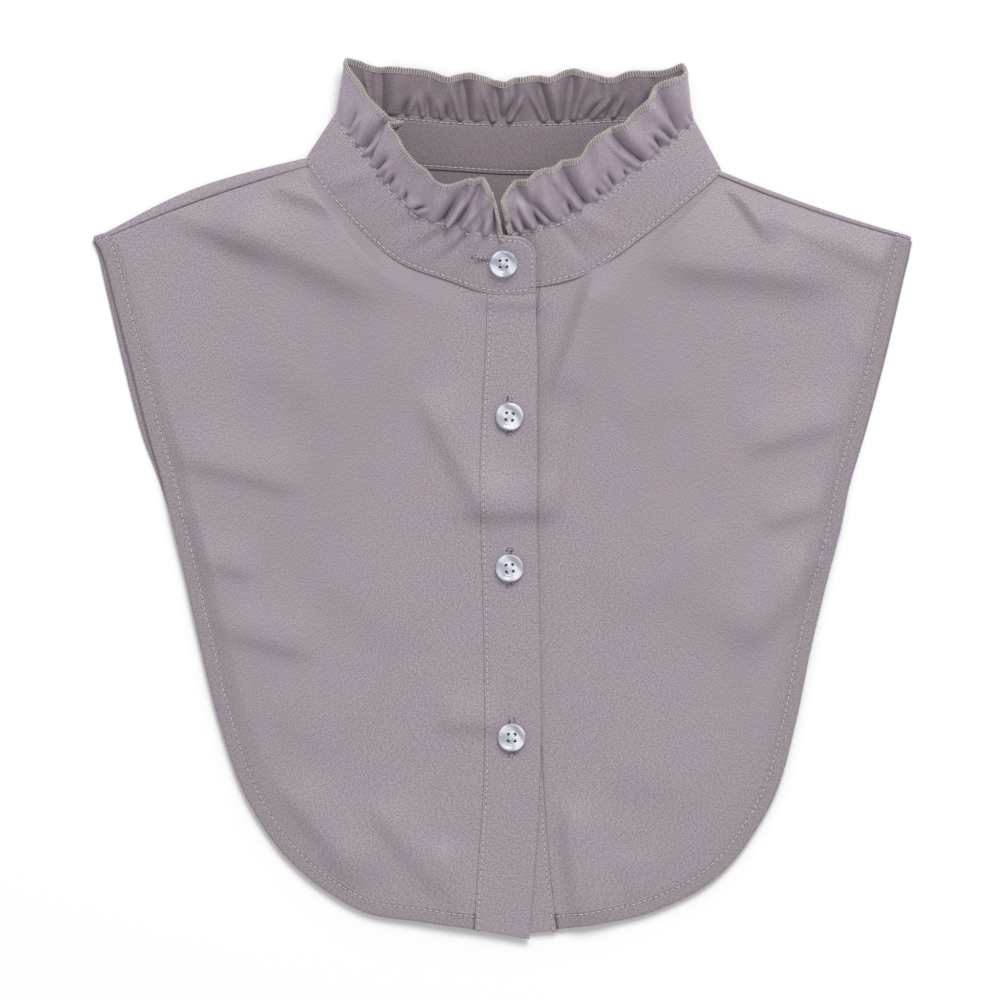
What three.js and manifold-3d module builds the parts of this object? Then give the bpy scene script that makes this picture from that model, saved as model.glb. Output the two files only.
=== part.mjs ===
// Detachable false collar: a sleeveless bib with a buttoned front, a stand collar and a gathered frill.
// It lies flat on its back, neck towards +Y, front face up. Millimetres, +Z up.
// The wearer's right front is at -X and laps over the left front at +X.
import * as THREE from "three";
import { mergeVertices } from "three/addons/utils/BufferGeometryUtils.js";
import Module from "manifold-3d";

// Bib
const HALF_WIDTH = 168.5; // from the middle to a shoulder tip
const BODY_LENGTH = 320; // from the neck point to the hem
const PANEL_WALL = 1.0;
const BINDING_WIDTH = 7;
const BINDING_WALL = 1.5;
const LAYER_GAP = 0.4; // between two layers that lie on each other
const SEAM_GAP = 0.35; // between two pieces sewn edge to edge
const LEFT_SHOULDER_WRAP = 2.8; // how far the back laps over the shoulder fold at -X
const RIGHT_SHOULDER_WRAP = 0.3;
const LEFT_SHOULDER_BOW = 1.4; // how far the shoulder seam bows up from a straight line
const RIGHT_SHOULDER_BOW = -1.2;
const LEFT_NECK_LOWER = 2.4; // how far the shoulder seam ends below the stand's side fold
const RIGHT_NECK_LOWER = 1.9;
const FRONT_PUFF = 2.6; // how far the middle of a front half swells
const PUFF_START = 6; // how soon inside its edges it swells
const FOLD_HEIGHT = 3.0;
const FOLD_SPREAD = 11;
const SHOULDER_NECK_RISE = 1.3; // how much higher a front lies at the neck end of its shoulder seam
const HEM_RISE_RUN = 45; // over this length the hem climbs onto the front bands
const SHOULDER_TURN = 0.85 * Math.PI; // how far round the back's cloth rolls before it lies flat again

// Front bands
const PLACKET_WIDTH = 22;
const PLACKET_WALL = 1.3;
const PLACKET_SHIFT = 4; // the bands lie this far to +X of the middle
const PLACKET_LEVEL_EASE = 1.6; // how fast the bands come down from the neck to the hem
const PLACKET_TOP_RUN = 0.12; // share of a band's length in which its edges leave the stand
const TOP_FADE = 4; // how fast the stand's curve fades out of the bands below it

// Collar
const NECK_WIDTH = 169.5;
const NECK_DROP = 56.5; // from the neck point down to the front of the neck seam
const NECK_SHIFT = 5;
const COLLAR_RISE = 10.4; // height of the neck seam at the front, over the surface it lies on
const BAND_HEIGHT = 24.5;
const BAND_WALL = 1.6;
const TAB_CORNER = 7;
const FRILL_HEIGHT = 19.5;
const FRILL_WALL = 1.0;
const FRILL_WAVE = 3.2;
const FRILL_SEAM_GAP = 0.5;
const FRILL_WAVE_EASE = 0.8; // under 1, the gathers start at the seam

// Buttons
const BUTTON_DIAMETER = 11.4;
const BUTTON_HEIGHT = 2.5;
const BUTTON_HOLE = 1.4;
const BUTTON_HOLE_SPACING = 2.9;
const BUTTONHOLE_LENGTH = 13.2;
const BUTTONHOLE_WIDTH = 0.8;
const BUTTON_GAP = 0.3; // between a button and the cloth under it

const NECK_HALF = NECK_WIDTH / 2;
const BACK_LEVEL = PANEL_WALL / 2; // middle of the back panel's cloth
const BACK_BINDING_LEVEL = BINDING_WALL / 2;
const FRONT_LEVEL = BINDING_WALL * 1.5 + LAYER_GAP; // middle of the front layer at the edge
const UNDER_BAND_LEVEL = BINDING_WALL + LAYER_GAP + PLACKET_WALL / 2;
const UPPER_BAND_LEVEL = UNDER_BAND_LEVEL + PLACKET_WALL + LAYER_GAP;
const NECK_EDGE_GAP = SEAM_GAP + 0.2 * BAND_WALL; // the stand slopes, so its lower edge juts a little

// Outer edge of a front half, from the shoulder tip down the armhole and round the hem.
// down: share of BODY_LENGTH; left, right: shares of HALF_WIDTH;
// backLeft, backRight: how far the back's edge stands out past it, shares of BINDING_WIDTH.
const EDGE_ROWS = [
  { down: 0.107, left: -0.988, right: 0.995, backLeft: 0.10, backRight: 0.12 },
  { down: 0.169, left: -0.946, right: 0.968, backLeft: 0.32, backRight: 0.14 },
  { down: 0.259, left: -0.903, right: 0.929, backLeft: 0.30, backRight: 0.12 },
  { down: 0.351, left: -0.859, right: 0.883, backLeft: 0.18, backRight: 0.10 },
  { down: 0.413, left: -0.825, right: 0.850, backLeft: 0.00, backRight: 0.04 },
  { down: 0.474, left: -0.798, right: 0.827, backLeft: -0.10, backRight: -0.08 },
  { down: 0.536, left: -0.769, right: 0.796, backLeft: -0.12, backRight: -0.12 },
  { down: 0.628, left: -0.730, right: 0.754, backLeft: -0.12, backRight: -0.12 },
  { down: 0.721, left: -0.686, right: 0.718, backLeft: -0.12, backRight: -0.12 },
  { down: 0.813, left: -0.625, right: 0.669, backLeft: -0.12, backRight: -0.12 },
  { down: 0.874, left: -0.555, right: 0.603, backLeft: -0.12, backRight: -0.12 },
  { down: 0.905, left: -0.504, right: 0.557, backLeft: -0.12, backRight: -0.12 },
  { down: 0.936, left: -0.433, right: 0.487, backLeft: -0.12, backRight: -0.12 },
  { down: 0.967, left: -0.326, right: 0.360, backLeft: -0.12, backRight: -0.12 },
  { down: 0.978, left: -0.197, right: 0.272, backLeft: -0.12, backRight: -0.12 },
  { down: 0.988, left: -0.066, right: 0.148, backLeft: -0.10, backRight: -0.10 },
];

// The stand, from the end of the tab round the neck to the end that lies under the tab.
// across, down, rise: the neck seam, shares of half NECK_WIDTH, NECK_DROP and COLLAR_RISE;
// lean: x, y, z from the seam to the top edge, shares of BAND_HEIGHT;
// frill: x, y, z from there to the edge of the frill, shares of FRILL_HEIGHT.
const NECK_ROWS = [
  { across: 0.109, down: 0.986, rise: 0.99, lean: [0.03, 0.97, 0.31], frill: [-0.1, 0.9, 0.38] },
  { across: -0.017, down: 1.000, rise: 1.00, lean: [-0.05, 0.99, 0.33], frill: [-0.12, 0.92, 0.42] },
  { across: -0.128, down: 0.986, rise: 0.99, lean: [0.03, 0.99, 0.35], frill: [0.06, 0.95, 0.46] },
  { across: -0.317, down: 0.891, rise: 0.94, lean: [0.20, 0.89, 0.37], frill: [0.17, 0.96, 0.50] },
  { across: -0.559, down: 0.754, rise: 0.89, lean: [0.37, 0.80, 0.37], frill: [0.36, 0.78, 0.54] },
  { across: -0.792, down: 0.449, rise: 0.78, lean: [0.60, 0.65, 0.35], frill: [0.52, 0.67, 0.51] },
  { across: -0.927, down: 0.217, rise: 0.62, lean: [0.74, 0.60, 0.31], frill: [0.62, 0.63, 0.44] },
  { across: -0.981, down: 0.087, rise: 0.44, lean: [0.65, 0.64, 0.22], frill: [0.42, 0.84, 0.28] },
  { across: -1.000, down: 0.022, rise: 0.25, lean: [0.53, 0.79, 0.13], frill: [0.19, 1.12, 0.13] },
  { across: -0.956, down: -0.007, rise: 0.12, lean: [0.47, 0.79, 0.06], frill: [0.27, 1.03, 0.10] },
  { across: -0.816, down: 0.022, rise: 0.09, lean: [0.35, 0.82, 0.05], frill: [0.21, 0.97, 0.13] },
  { across: -0.550, down: 0.072, rise: 0.09, lean: [0.27, 0.87, 0.05], frill: [0.19, 1.00, 0.13] },
  { across: -0.259, down: 0.101, rise: 0.09, lean: [0.07, 0.87, 0.05], frill: [0.04, 0.99, 0.15] },
  { across: -0.007, down: 0.123, rise: 0.09, lean: [0.00, 0.90, 0.05], frill: [0.00, 0.94, 0.15] },
  { across: 0.274, down: 0.116, rise: 0.09, lean: [-0.07, 0.90, 0.05], frill: [-0.08, 1.02, 0.15] },
  { across: 0.564, down: 0.087, rise: 0.09, lean: [-0.13, 0.89, 0.05], frill: [-0.13, 0.90, 0.13] },
  { across: 0.831, down: 0.072, rise: 0.09, lean: [-0.28, 0.90, 0.05], frill: [-0.25, 0.95, 0.13] },
  { across: 0.956, down: 0.065, rise: 0.12, lean: [-0.45, 0.90, 0.06], frill: [-0.25, 1.00, 0.10] },
  { across: 1.000, down: 0.101, rise: 0.25, lean: [-0.50, 0.92, 0.13], frill: [-0.17, 1.14, 0.13] },
  { across: 0.966, down: 0.167, rise: 0.44, lean: [-0.53, 0.85, 0.22], frill: [-0.19, 1.04, 0.25] },
  { across: 0.840, down: 0.326, rise: 0.60, lean: [-0.62, 0.75, 0.31], frill: [-0.46, 0.86, 0.40] },
  { across: 0.637, down: 0.565, rise: 0.68, lean: [-0.59, 0.77, 0.35], frill: [-0.29, 1.08, 0.42] },
  { across: 0.366, down: 0.841, rise: 0.70, lean: [-0.33, 0.98, 0.33], frill: [-0.11, 1.06, 0.44] },
  { across: 0.167, down: 0.928, rise: 0.68, lean: [-0.15, 1.00, 0.33], frill: [-0.02, 1.10, 0.42] },
  { across: 0.007, down: 0.957, rise: 0.66, lean: [-0.09, 0.92, 0.33], frill: [-0.02, 1.00, 0.42] },
  { across: -0.128, down: 0.935, rise: 0.64, lean: [0.00, 0.85, 0.33], frill: [0.0, 0.92, 0.42] },
];

// Places along NECK_ROWS, as counts of its rows
const LEFT_FOLD_ROW = 8; // the stand's side folds
const RIGHT_FOLD_ROW = 18;
const LEFT_FRONT_ROW = 7.2; // where a front meets the stand beside its side fold
const RIGHT_FRONT_ROW = 18.8;
const LEFT_BACK_ROW = 9.6; // where the back meets it
const RIGHT_BACK_ROW = 17.4;
const LEFT_PLACKET_ROW = 2; // where the upper band's seam meets it
const RIGHT_PLACKET_ROW = 23.25; // where the lower band's seam meets it
const UNDER_END_ROW = 25;
const TAB_END_ROW = 2; // the tab's rounded corner lies before this row

// Folds of the frill: at counts along NECK_ROWS, reach is a share of the frill's height,
// sway a share of FRILL_HEIGHT along the neck and lift a share of FRILL_WAVE off the cloth.
const FRILL_ROWS = [
  { at: 1.22, reach: 0.94, sway: 0.00, lift: -0.3 },
  { at: 1.60, reach: 1.02, sway: 0.04, lift: 0.8 },
  { at: 2.15, reach: 1.04, sway: 0.00, lift: 0.5 },
  { at: 2.65, reach: 1.02, sway: 0.00, lift: -0.9 },
  { at: 3.00, reach: 1.02, sway: 0.00, lift: 0.4 },
  { at: 3.40, reach: 0.94, sway: 0.00, lift: -0.8 },
  { at: 3.90, reach: 1.02, sway: 0.00, lift: 0.9 },
  { at: 4.40, reach: 0.98, sway: 0.00, lift: 0.2 },
  { at: 4.75, reach: 0.95, sway: 0.00, lift: -0.5 },
  { at: 5.15, reach: 1.00, sway: 0.00, lift: 0.7 },
  { at: 5.60, reach: 0.98, sway: 0.05, lift: 0.3 },
  { at: 5.95, reach: 0.84, sway: -0.05, lift: -1.0 },
  { at: 6.35, reach: 1.04, sway: 0.06, lift: 0.9 },
  { at: 7.00, reach: 1.00, sway: 0.00, lift: 0.4 },
  { at: 8.00, reach: 1.00, sway: 0.00, lift: 0.0 },
  { at: 9.20, reach: 0.98, sway: 0.00, lift: 0.3 },
  { at: 10.30, reach: 0.96, sway: 0.00, lift: -0.9 },
  { at: 10.75, reach: 1.00, sway: 0.00, lift: 0.4 },
  { at: 11.10, reach: 0.97, sway: 0.00, lift: -0.3 },
  { at: 11.45, reach: 0.98, sway: 0.00, lift: 0.3 },
  { at: 11.70, reach: 0.98, sway: 0.00, lift: -0.2 },
  { at: 12.05, reach: 1.05, sway: 0.00, lift: -0.9 },
  { at: 12.35, reach: 1.00, sway: 0.00, lift: 0.5 },
  { at: 12.75, reach: 0.92, sway: 0.00, lift: -0.8 },
  { at: 13.15, reach: 1.00, sway: 0.00, lift: 0.6 },
  { at: 13.55, reach: 0.98, sway: 0.00, lift: -0.8 },
  { at: 13.90, reach: 1.04, sway: 0.00, lift: 0.3 },
  { at: 14.10, reach: 1.06, sway: 0.00, lift: -0.7 },
  { at: 14.45, reach: 0.98, sway: 0.00, lift: 0.4 },
  { at: 14.75, reach: 0.97, sway: 0.00, lift: -0.6 },
  { at: 15.20, reach: 1.06, sway: 0.00, lift: 0.5 },
  { at: 15.70, reach: 1.02, sway: 0.00, lift: -0.3 },
  { at: 16.30, reach: 1.00, sway: 0.00, lift: 0.2 },
  { at: 17.20, reach: 0.98, sway: 0.00, lift: 0.2 },
  { at: 18.00, reach: 1.00, sway: 0.00, lift: 0.0 },
  { at: 18.80, reach: 1.00, sway: 0.00, lift: 0.6 },
  { at: 19.20, reach: 0.94, sway: 0.00, lift: -0.8 },
  { at: 19.65, reach: 1.00, sway: 0.00, lift: 0.7 },
  { at: 20.25, reach: 0.92, sway: 0.00, lift: -0.8 },
  { at: 20.80, reach: 1.04, sway: 0.00, lift: 0.8 },
  { at: 21.25, reach: 1.02, sway: 0.00, lift: 0.3 },
  { at: 21.70, reach: 0.94, sway: 0.00, lift: -0.9 },
  { at: 22.10, reach: 0.98, sway: 0.00, lift: 0.5 },
  { at: 22.45, reach: 0.96, sway: 0.00, lift: -0.4 },
  { at: 22.75, reach: 0.98, sway: 0.00, lift: 0.5 },
  { at: 23.05, reach: 0.94, sway: 0.00, lift: -0.9 },
  { at: 23.40, reach: 0.96, sway: 0.00, lift: 0.4 },
  { at: 23.70, reach: 0.98, sway: 0.00, lift: -0.5 },
  { at: 24.00, reach: 1.00, sway: 0.00, lift: 0.3 },
];

// Edges of the two front bands. down: share of BODY_LENGTH; the others: shares of PLACKET_WIDTH.
const PLACKET_ROWS = [
  { down: 0.15, upperLeft: -0.45, upperRight: 0.49, underRight: 0.47 },
  { down: 0.24, upperLeft: -0.47, upperRight: 0.50, underRight: 0.47 },
  { down: 0.31, upperLeft: -0.52, upperRight: 0.49, underRight: 0.47 },
  { down: 0.39, upperLeft: -0.57, upperRight: 0.49, underRight: 0.46 },
  { down: 0.47, upperLeft: -0.56, upperRight: 0.49, underRight: 0.46 },
  { down: 0.56, upperLeft: -0.52, upperRight: 0.52, underRight: 0.49 },
  { down: 0.68, upperLeft: -0.49, upperRight: 0.56, underRight: 0.53 },
  { down: 0.76, upperLeft: -0.49, upperRight: 0.56, underRight: 0.57 },
  { down: 0.82, upperLeft: -0.52, upperRight: 0.53, underRight: 0.63 },
  { down: 0.89, upperLeft: -0.59, upperRight: 0.47, underRight: 0.70 },
  { down: 0.95, upperLeft: -0.65, upperRight: 0.40, underRight: 0.79 },
  { down: 1.00, upperLeft: -0.67, upperRight: 0.34, underRight: 0.87 },
];
const UNDER_BAND_SHARE = 0.9; // width of the lower band, share of PLACKET_WIDTH

// Lower ends of the bands and of the seams beside them, shares of BODY_LENGTH.
const HEM_END = { upperLeft: 0.988, upperRight: 1.0, underLeft: 0.993, underRight: 0.99 };

// Soft folds of the two fronts, each along a line from (fromX, fromDown) to (toX, toDown):
// shares of HALF_WIDTH and BODY_LENGTH; height: share of FOLD_HEIGHT; spread: share of FOLD_SPREAD.
const FOLD_ROWS = [
  { fromX: -0.74, fromDown: 0.06, toX: -0.42, toDown: 0.18, height: 0.7, spread: 1.2 },
  { fromX: -0.46, fromDown: 0.06, toX: -0.36, toDown: 0.22, height: -0.5, spread: 0.9 },
  { fromX: 0.22, fromDown: 0.16, toX: 0.12, toDown: 0.27, height: 0.6, spread: 1.0 },
  { fromX: 0.46, fromDown: 0.14, toX: 0.66, toDown: 0.12, height: 0.8, spread: 1.1 },
  { fromX: 0.36, fromDown: 0.15, toX: 0.52, toDown: 0.24, height: -0.4, spread: 1.0 },
  { fromX: 0.58, fromDown: 0.66, toX: 0.68, toDown: 0.58, height: 0.5, spread: 1.2 },
  { fromX: -0.10, fromDown: 0.46, toX: -0.01, toDown: 0.50, height: 0.3, spread: 0.8 },
];

// Buttons down the front. down: share of BODY_LENGTH; across: share of PLACKET_WIDTH.
const BUTTON_ROWS = [
  { name: "button_2", down: 0.328, across: -0.02 },
  { name: "button_3", down: 0.521, across: -0.02 },
  { name: "button_4", down: 0.737, across: 0.02 },
];
// The button and the buttonhole of the stand: at counts along NECK_ROWS, up is a share of its height.
const TAB_BUTTON = { at: 1.22, up: 0.555 };
const TAB_HOLE = { at: 1.95, up: 0.545 };

// Side view of a button: radius, share of half BUTTON_DIAMETER; height, share of BUTTON_HEIGHT.
const BUTTON_SECTION = [
  { radius: 0, height: 0.06 },
  { radius: 0.72, height: 0 },
  { radius: 0.97, height: 0.34 },
  { radius: 1, height: 0.66 },
  { radius: 0.92, height: 1 },
  { radius: 0.78, height: 0.96 },
  { radius: 0.6, height: 0.66 },
  { radius: 0, height: 0.6 },
];

// How finely each piece is cut into faces
const FRONT_STEPS = { along: 20, across: 14 };
const BACK_STEPS = { along: 19, across: 9, roll: 4 };
const EDGE_STEPS = 36;
const NECK_STEPS = 10;
const BAND_STEPS = { along: 3, up: 2 }; // along: for each of NECK_ROWS
const TAB_STEPS = 8;
const FRILL_STEPS = { along: 138, up: 3 };
const PLACKET_STEPS = { along: 26, across: 3 };
const BUTTON_SIDES = 20;
const BUTTON_HOLE_SIDES = 6;

const wasm = await Module();
wasm.setup();

const { lerp: mix, clamp, smoothstep } = THREE.MathUtils;
const point = (x, y, z) => new THREE.Vector3(x, y, z);

// Value of a table's column at a place, on a smooth curve through its rows
function column(rows, key, name, at) {
  let i = 0;
  while (i < rows.length - 2 && rows[i + 1][key] < at) i += 1;
  const slope = (a, b) => (rows[b][name] - rows[a][name]) / (rows[b][key] - rows[a][key]);
  const span = rows[i + 1][key] - rows[i][key];
  const t = clamp((at - rows[i][key]) / span, 0, 1);
  const rise = rows[i + 1][name] - rows[i][name];
  const start = slope(Math.max(i - 1, 0), i + 1) * span;
  const end = slope(i, Math.min(i + 2, rows.length - 1)) * span;
  const bend = (1 - t) * (start - rise) - t * (end - rise);
  return rows[i][name] + t * rise + t * (1 - t) * bend;
}

function curveThrough(points) {
  return new THREE.CatmullRomCurve3(points, false, "centripetal");
}

// Closed wall of a given thickness round a grid of mid-surface points
function wall(grid, thickness) {
  const rows = grid.length;
  const columns = grid[0].length;
  const at = (i, j) => grid[clamp(i, 0, rows - 1)][clamp(j, 0, columns - 1)];
  const positions = [];
  for (const side of [0.5, -0.5]) {
    for (let i = 0; i < rows; i += 1) {
      for (let j = 0; j < columns; j += 1) {
        const along = at(i + 1, j).clone().sub(at(i - 1, j));
        const across = at(i, j + 1).clone().sub(at(i, j - 1));
        const normal = along.cross(across).normalize();
        positions.push(...at(i, j).clone().addScaledVector(normal, side * thickness));
      }
    }
  }
  const upper = (i, j) => i * columns + j;
  const lower = (i, j) => rows * columns + upper(i, j);
  const faces = [];
  const quad = (a, b, c, d) => faces.push(a, b, c, a, c, d);
  const lastRow = rows - 1;
  const lastColumn = columns - 1;
  for (let i = 0; i < lastRow; i += 1) {
    for (let j = 0; j < lastColumn; j += 1) {
      quad(upper(i, j), upper(i + 1, j), upper(i + 1, j + 1), upper(i, j + 1));
      quad(lower(i, j), lower(i, j + 1), lower(i + 1, j + 1), lower(i + 1, j));
    }
    quad(upper(i, 0), lower(i, 0), lower(i + 1, 0), upper(i + 1, 0));
    quad(upper(i, lastColumn), upper(i + 1, lastColumn), lower(i + 1, lastColumn), lower(i, lastColumn));
  }
  for (let j = 0; j < lastColumn; j += 1) {
    quad(upper(0, j), upper(0, j + 1), lower(0, j + 1), lower(0, j));
    quad(upper(lastRow, j), lower(lastRow, j), lower(lastRow, j + 1), upper(lastRow, j + 1));
  }
  const geometry = new THREE.BufferGeometry();
  geometry.setAttribute("position", new THREE.Float32BufferAttribute(positions, 3));
  geometry.setIndex(faces);
  return geometry;
}

// Grid of points between four edges. outer and neck run from the shoulder to the middle of the bib,
// shoulder and middle run from the outer edge to the neck.
function patch(outer, neck, shoulder, middle, steps) {
  const grid = [];
  for (let i = 0; i <= steps.along; i += 1) {
    const v = i / steps.along;
    const row = [];
    for (let j = 0; j <= steps.across; j += 1) {
      const u = j / steps.across;
      const between = outer(v).clone().lerp(neck(v), u);
      const beside = shoulder(u).clone().lerp(middle(u), v);
      const start = outer(0).clone().lerp(neck(0), u);
      const end = outer(1).clone().lerp(neck(1), u);
      row.push(between.add(beside).sub(start.lerp(end, v)));
    }
    grid.push(row);
  }
  return grid;
}

// Solids for cutting
function solidOf(geometry) {
  const bare = new THREE.BufferGeometry();
  bare.setAttribute("position", geometry.getAttribute("position"));
  bare.setIndex(geometry.getIndex());
  const merged = mergeVertices(bare, 1e-4);
  const vertProperties = new Float32Array(merged.attributes.position.array);
  const triVerts = new Uint32Array(merged.index.array);
  return new wasm.Manifold(new wasm.Mesh({ numProp: 3, vertProperties, triVerts }));
}

function geometryOf(solid) {
  const mesh = solid.getMesh();
  const geometry = new THREE.BufferGeometry();
  geometry.setAttribute("position", new THREE.BufferAttribute(mesh.vertProperties, 3));
  geometry.setIndex(new THREE.BufferAttribute(mesh.triVerts, 1));
  return geometry;
}

// Matrix that sets a thing at a place, its Z along a normal and its Y along the cloth
function placing(place, normal, along) {
  const across = along.clone().cross(normal).normalize();
  const straight = normal.clone().cross(across);
  return new THREE.Matrix4().makeBasis(across, straight, normal).setPosition(place);
}

// A slit cut through a piece of cloth, with its length along Y of the matrix
function slit(geometry, matrix, thickness) {
  const box = new THREE.BoxGeometry(BUTTONHOLE_WIDTH, BUTTONHOLE_LENGTH, 4 * thickness);
  return geometryOf(solidOf(geometry).subtract(solidOf(box.applyMatrix4(matrix))));
}

// The stand's seam, its top edge and the frill's edge, read by one count along NECK_ROWS
const seamPoints = NECK_ROWS.map((row) =>
  point(NECK_SHIFT + row.across * NECK_HALF, -row.down * NECK_DROP, row.rise * COLLAR_RISE),
);
const topPoints = NECK_ROWS.map((row, i) =>
  seamPoints[i].clone().addScaledVector(point(...row.lean), BAND_HEIGHT),
);
const frillPoints = NECK_ROWS.map((row, i) =>
  topPoints[i].clone().addScaledVector(point(...row.frill), FRILL_HEIGHT),
);
const LAST_ROW = NECK_ROWS.length - 1;
function rowCurve(points) {
  const curve = curveThrough(points);
  return (at) => curve.getPoint(at / LAST_ROW);
}
const seamAt = rowCurve(seamPoints);
const topAt = rowCurve(topPoints);
const frillAt = rowCurve(frillPoints);
const bandAt = (at, up) => seamAt(at).lerp(topAt(at), up);

// Edge of the cloth that is sewn to the stand
function neckEdge(at) {
  const seam = seamAt(at);
  const lean = topAt(at).sub(seam).normalize();
  return seam.addScaledVector(lean, -NECK_EDGE_GAP);
}

// What differs between the two sides. neckCorner is where front, back and stand meet.
function sideOf(name, sign, shoulder, foldRow, neckRows, backRow) {
  const edge = curveThrough(
    EDGE_ROWS.map((row) => point(row[name] * HALF_WIDTH, -row.down * BODY_LENGTH, FRONT_LEVEL)),
  );
  const fold = seamAt(foldRow);
  const clear = BAND_WALL / 2 + 2 * SEAM_GAP;
  const neckLevel = FRONT_LEVEL + SHOULDER_NECK_RISE;
  const neckCorner = point(fold.x + sign * clear, fold.y - shoulder.lower, neckLevel);
  const tip = edge.getPoint(0);
  const alongSeam = point(neckCorner.x - tip.x, neckCorner.y - tip.y, 0).normalize();
  const beyond = point(sign * alongSeam.y, -sign * alongSeam.x, 0);
  const backKey = sign < 0 ? "backLeft" : "backRight";
  return { sign, ...shoulder, edge, neckCorner, alongSeam, beyond, neckRows, backRow, backKey };
}
const LEFT = sideOf(
  "left",
  -1,
  { wrap: LEFT_SHOULDER_WRAP, bow: LEFT_SHOULDER_BOW, lower: LEFT_NECK_LOWER },
  LEFT_FOLD_ROW,
  [LEFT_FRONT_ROW, LEFT_PLACKET_ROW],
  LEFT_BACK_ROW,
);
const RIGHT = sideOf(
  "right",
  1,
  { wrap: RIGHT_SHOULDER_WRAP, bow: RIGHT_SHOULDER_BOW, lower: RIGHT_NECK_LOWER },
  RIGHT_FOLD_ROW,
  [RIGHT_FRONT_ROW, RIGHT_PLACKET_ROW],
  RIGHT_BACK_ROW,
);

// A shoulder line from the outer tip to the neck, bowed
function shoulderLine(side, tip, corner) {
  return (u) => {
    const place = tip.clone().lerp(corner, u);
    return place.addScaledVector(side.beyond, side.bow * 4 * u * (1 - u));
  };
}

// Points a given distance inside a side's outer edge, from the shoulder tip to the hem
function insideEdge(side, inset) {
  const points = [];
  for (let i = 0; i <= EDGE_STEPS; i += 1) {
    const t = i / EDGE_STEPS;
    const run = side.edge.getTangentAt(t);
    const inward = point(-side.sign * -run.y, -side.sign * run.x, 0).normalize();
    const place = side.edge.getPointAt(t);
    points.push(place.clone().addScaledVector(inward, inset(place)));
  }
  points[0] = side.edge.getPoint(0).addScaledVector(side.alongSeam, inset(side.edge.getPoint(0)));
  return points;
}

// A long edge of a front band, or of the front sewn to it, by share of the way down
function bandEdge(at, key, hemDown, hemLevel, shift) {
  const start = neckEdge(at);
  return (t) => {
    const y = mix(start.y, -hemDown * BODY_LENGTH, t);
    const edge = PLACKET_SHIFT + PLACKET_WIDTH * column(PLACKET_ROWS, "down", key, -y / BODY_LENGTH);
    const x = mix(start.x, edge, smoothstep(t, 0, PLACKET_TOP_RUN)) + shift;
    return point(x, y, mix(hemLevel, start.z, Math.pow(1 - t, PLACKET_LEVEL_EASE)));
  };
}

// Height that the soft folds add at a place
function foldHeight(place) {
  const flat = point(place.x, place.y, 0);
  return FOLD_ROWS.reduce((sum, row) => {
    const from = point(row.fromX * HALF_WIDTH, -row.fromDown * BODY_LENGTH, 0);
    const to = point(row.toX * HALF_WIDTH, -row.toDown * BODY_LENGTH, 0);
    const near = new THREE.Line3(from, to).closestPointToPoint(flat, true, new THREE.Vector3());
    const far = near.distanceTo(flat) / (row.spread * FOLD_SPREAD);
    return sum + row.height * FOLD_HEIGHT * Math.exp(-far * far);
  }, 0);
}

// One front half and the strip that binds its edge
function frontHalf(side, seam) {
  const hem = seam(1);
  const shareDown = (y) => Math.min(1, (seam(0).y - y) / (seam(0).y - hem.y));
  const onSeam = (y) => seam(shareDown(y)).setY(y);
  const rise = (place) =>
    mix(hem.z, FRONT_LEVEL, smoothstep(side.sign * (place.x - hem.x), 0, HEM_RISE_RUN));
  const edgeInside = (width) => {
    const points = insideEdge(side, () => width);
    points.forEach((place) => place.setZ(rise(place)));
    points[points.length - 1] = onSeam(side.edge.getPoint(1).y + width);
    return points;
  };
  const outer = edgeInside(0);
  const inner = edgeInside(BINDING_WIDTH);
  const panelEdge = curveThrough(edgeInside(BINDING_WIDTH + SEAM_GAP));
  const binding = outer.map((place, i) => [place, inner[i]]);

  const [from, to] = side.neckRows;
  const neckPoints = [side.neckCorner];
  for (let i = 0; i <= NECK_STEPS; i += 1) neckPoints.push(neckEdge(mix(from, to, i / NECK_STEPS)));
  neckPoints[neckPoints.length - 1] = seam(0);
  const neck = curveThrough(neckPoints);
  const tip = panelEdge.getPoint(0);
  const foot = shareDown(panelEdge.getPoint(1).y);
  const grid = patch(
    (v) => panelEdge.getPointAt(v),
    (v) => neck.getPointAt(v),
    shoulderLine(side, tip, side.neckCorner),
    (u) => seam((1 - u) * foot),
    FRONT_STEPS,
  );
  grid.forEach((row, i) => {
    const v = i / FRONT_STEPS.along;
    row.forEach((place, j) => {
      const u = j / FRONT_STEPS.across;
      const free = Math.min(1, PUFF_START * u * (1 - u)) * Math.min(1, PUFF_START * v * (1 - v));
      place.z += free * (FRONT_PUFF * Math.sin(Math.PI * v) + foldHeight(place));
    });
  });
  return { panel: wall(grid, PANEL_WALL), binding: wall(binding, BINDING_WALL) };
}

// Rows of points that roll over a shoulder from the back to the front seam
function shoulderRoll(side, foldLine, levels) {
  const rows = [];
  for (let k = 1; k <= BACK_STEPS.roll; k += 1) {
    const turn = (SHOULDER_TURN * k) / BACK_STEPS.roll;
    rows.push(
      foldLine.map((place, j) => {
        const radius = (levels[j] - place.z) / 2;
        const out = place.clone().addScaledVector(side.beyond, radius * Math.sin(turn));
        return out.setZ(place.z + radius * (1 - Math.cos(turn)));
      }),
    );
  }
  const lap = SEAM_GAP - side.wrap;
  rows.push(foldLine.map((place, j) => place.clone().addScaledVector(side.beyond, lap).setZ(levels[j])));
  return rows;
}

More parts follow.
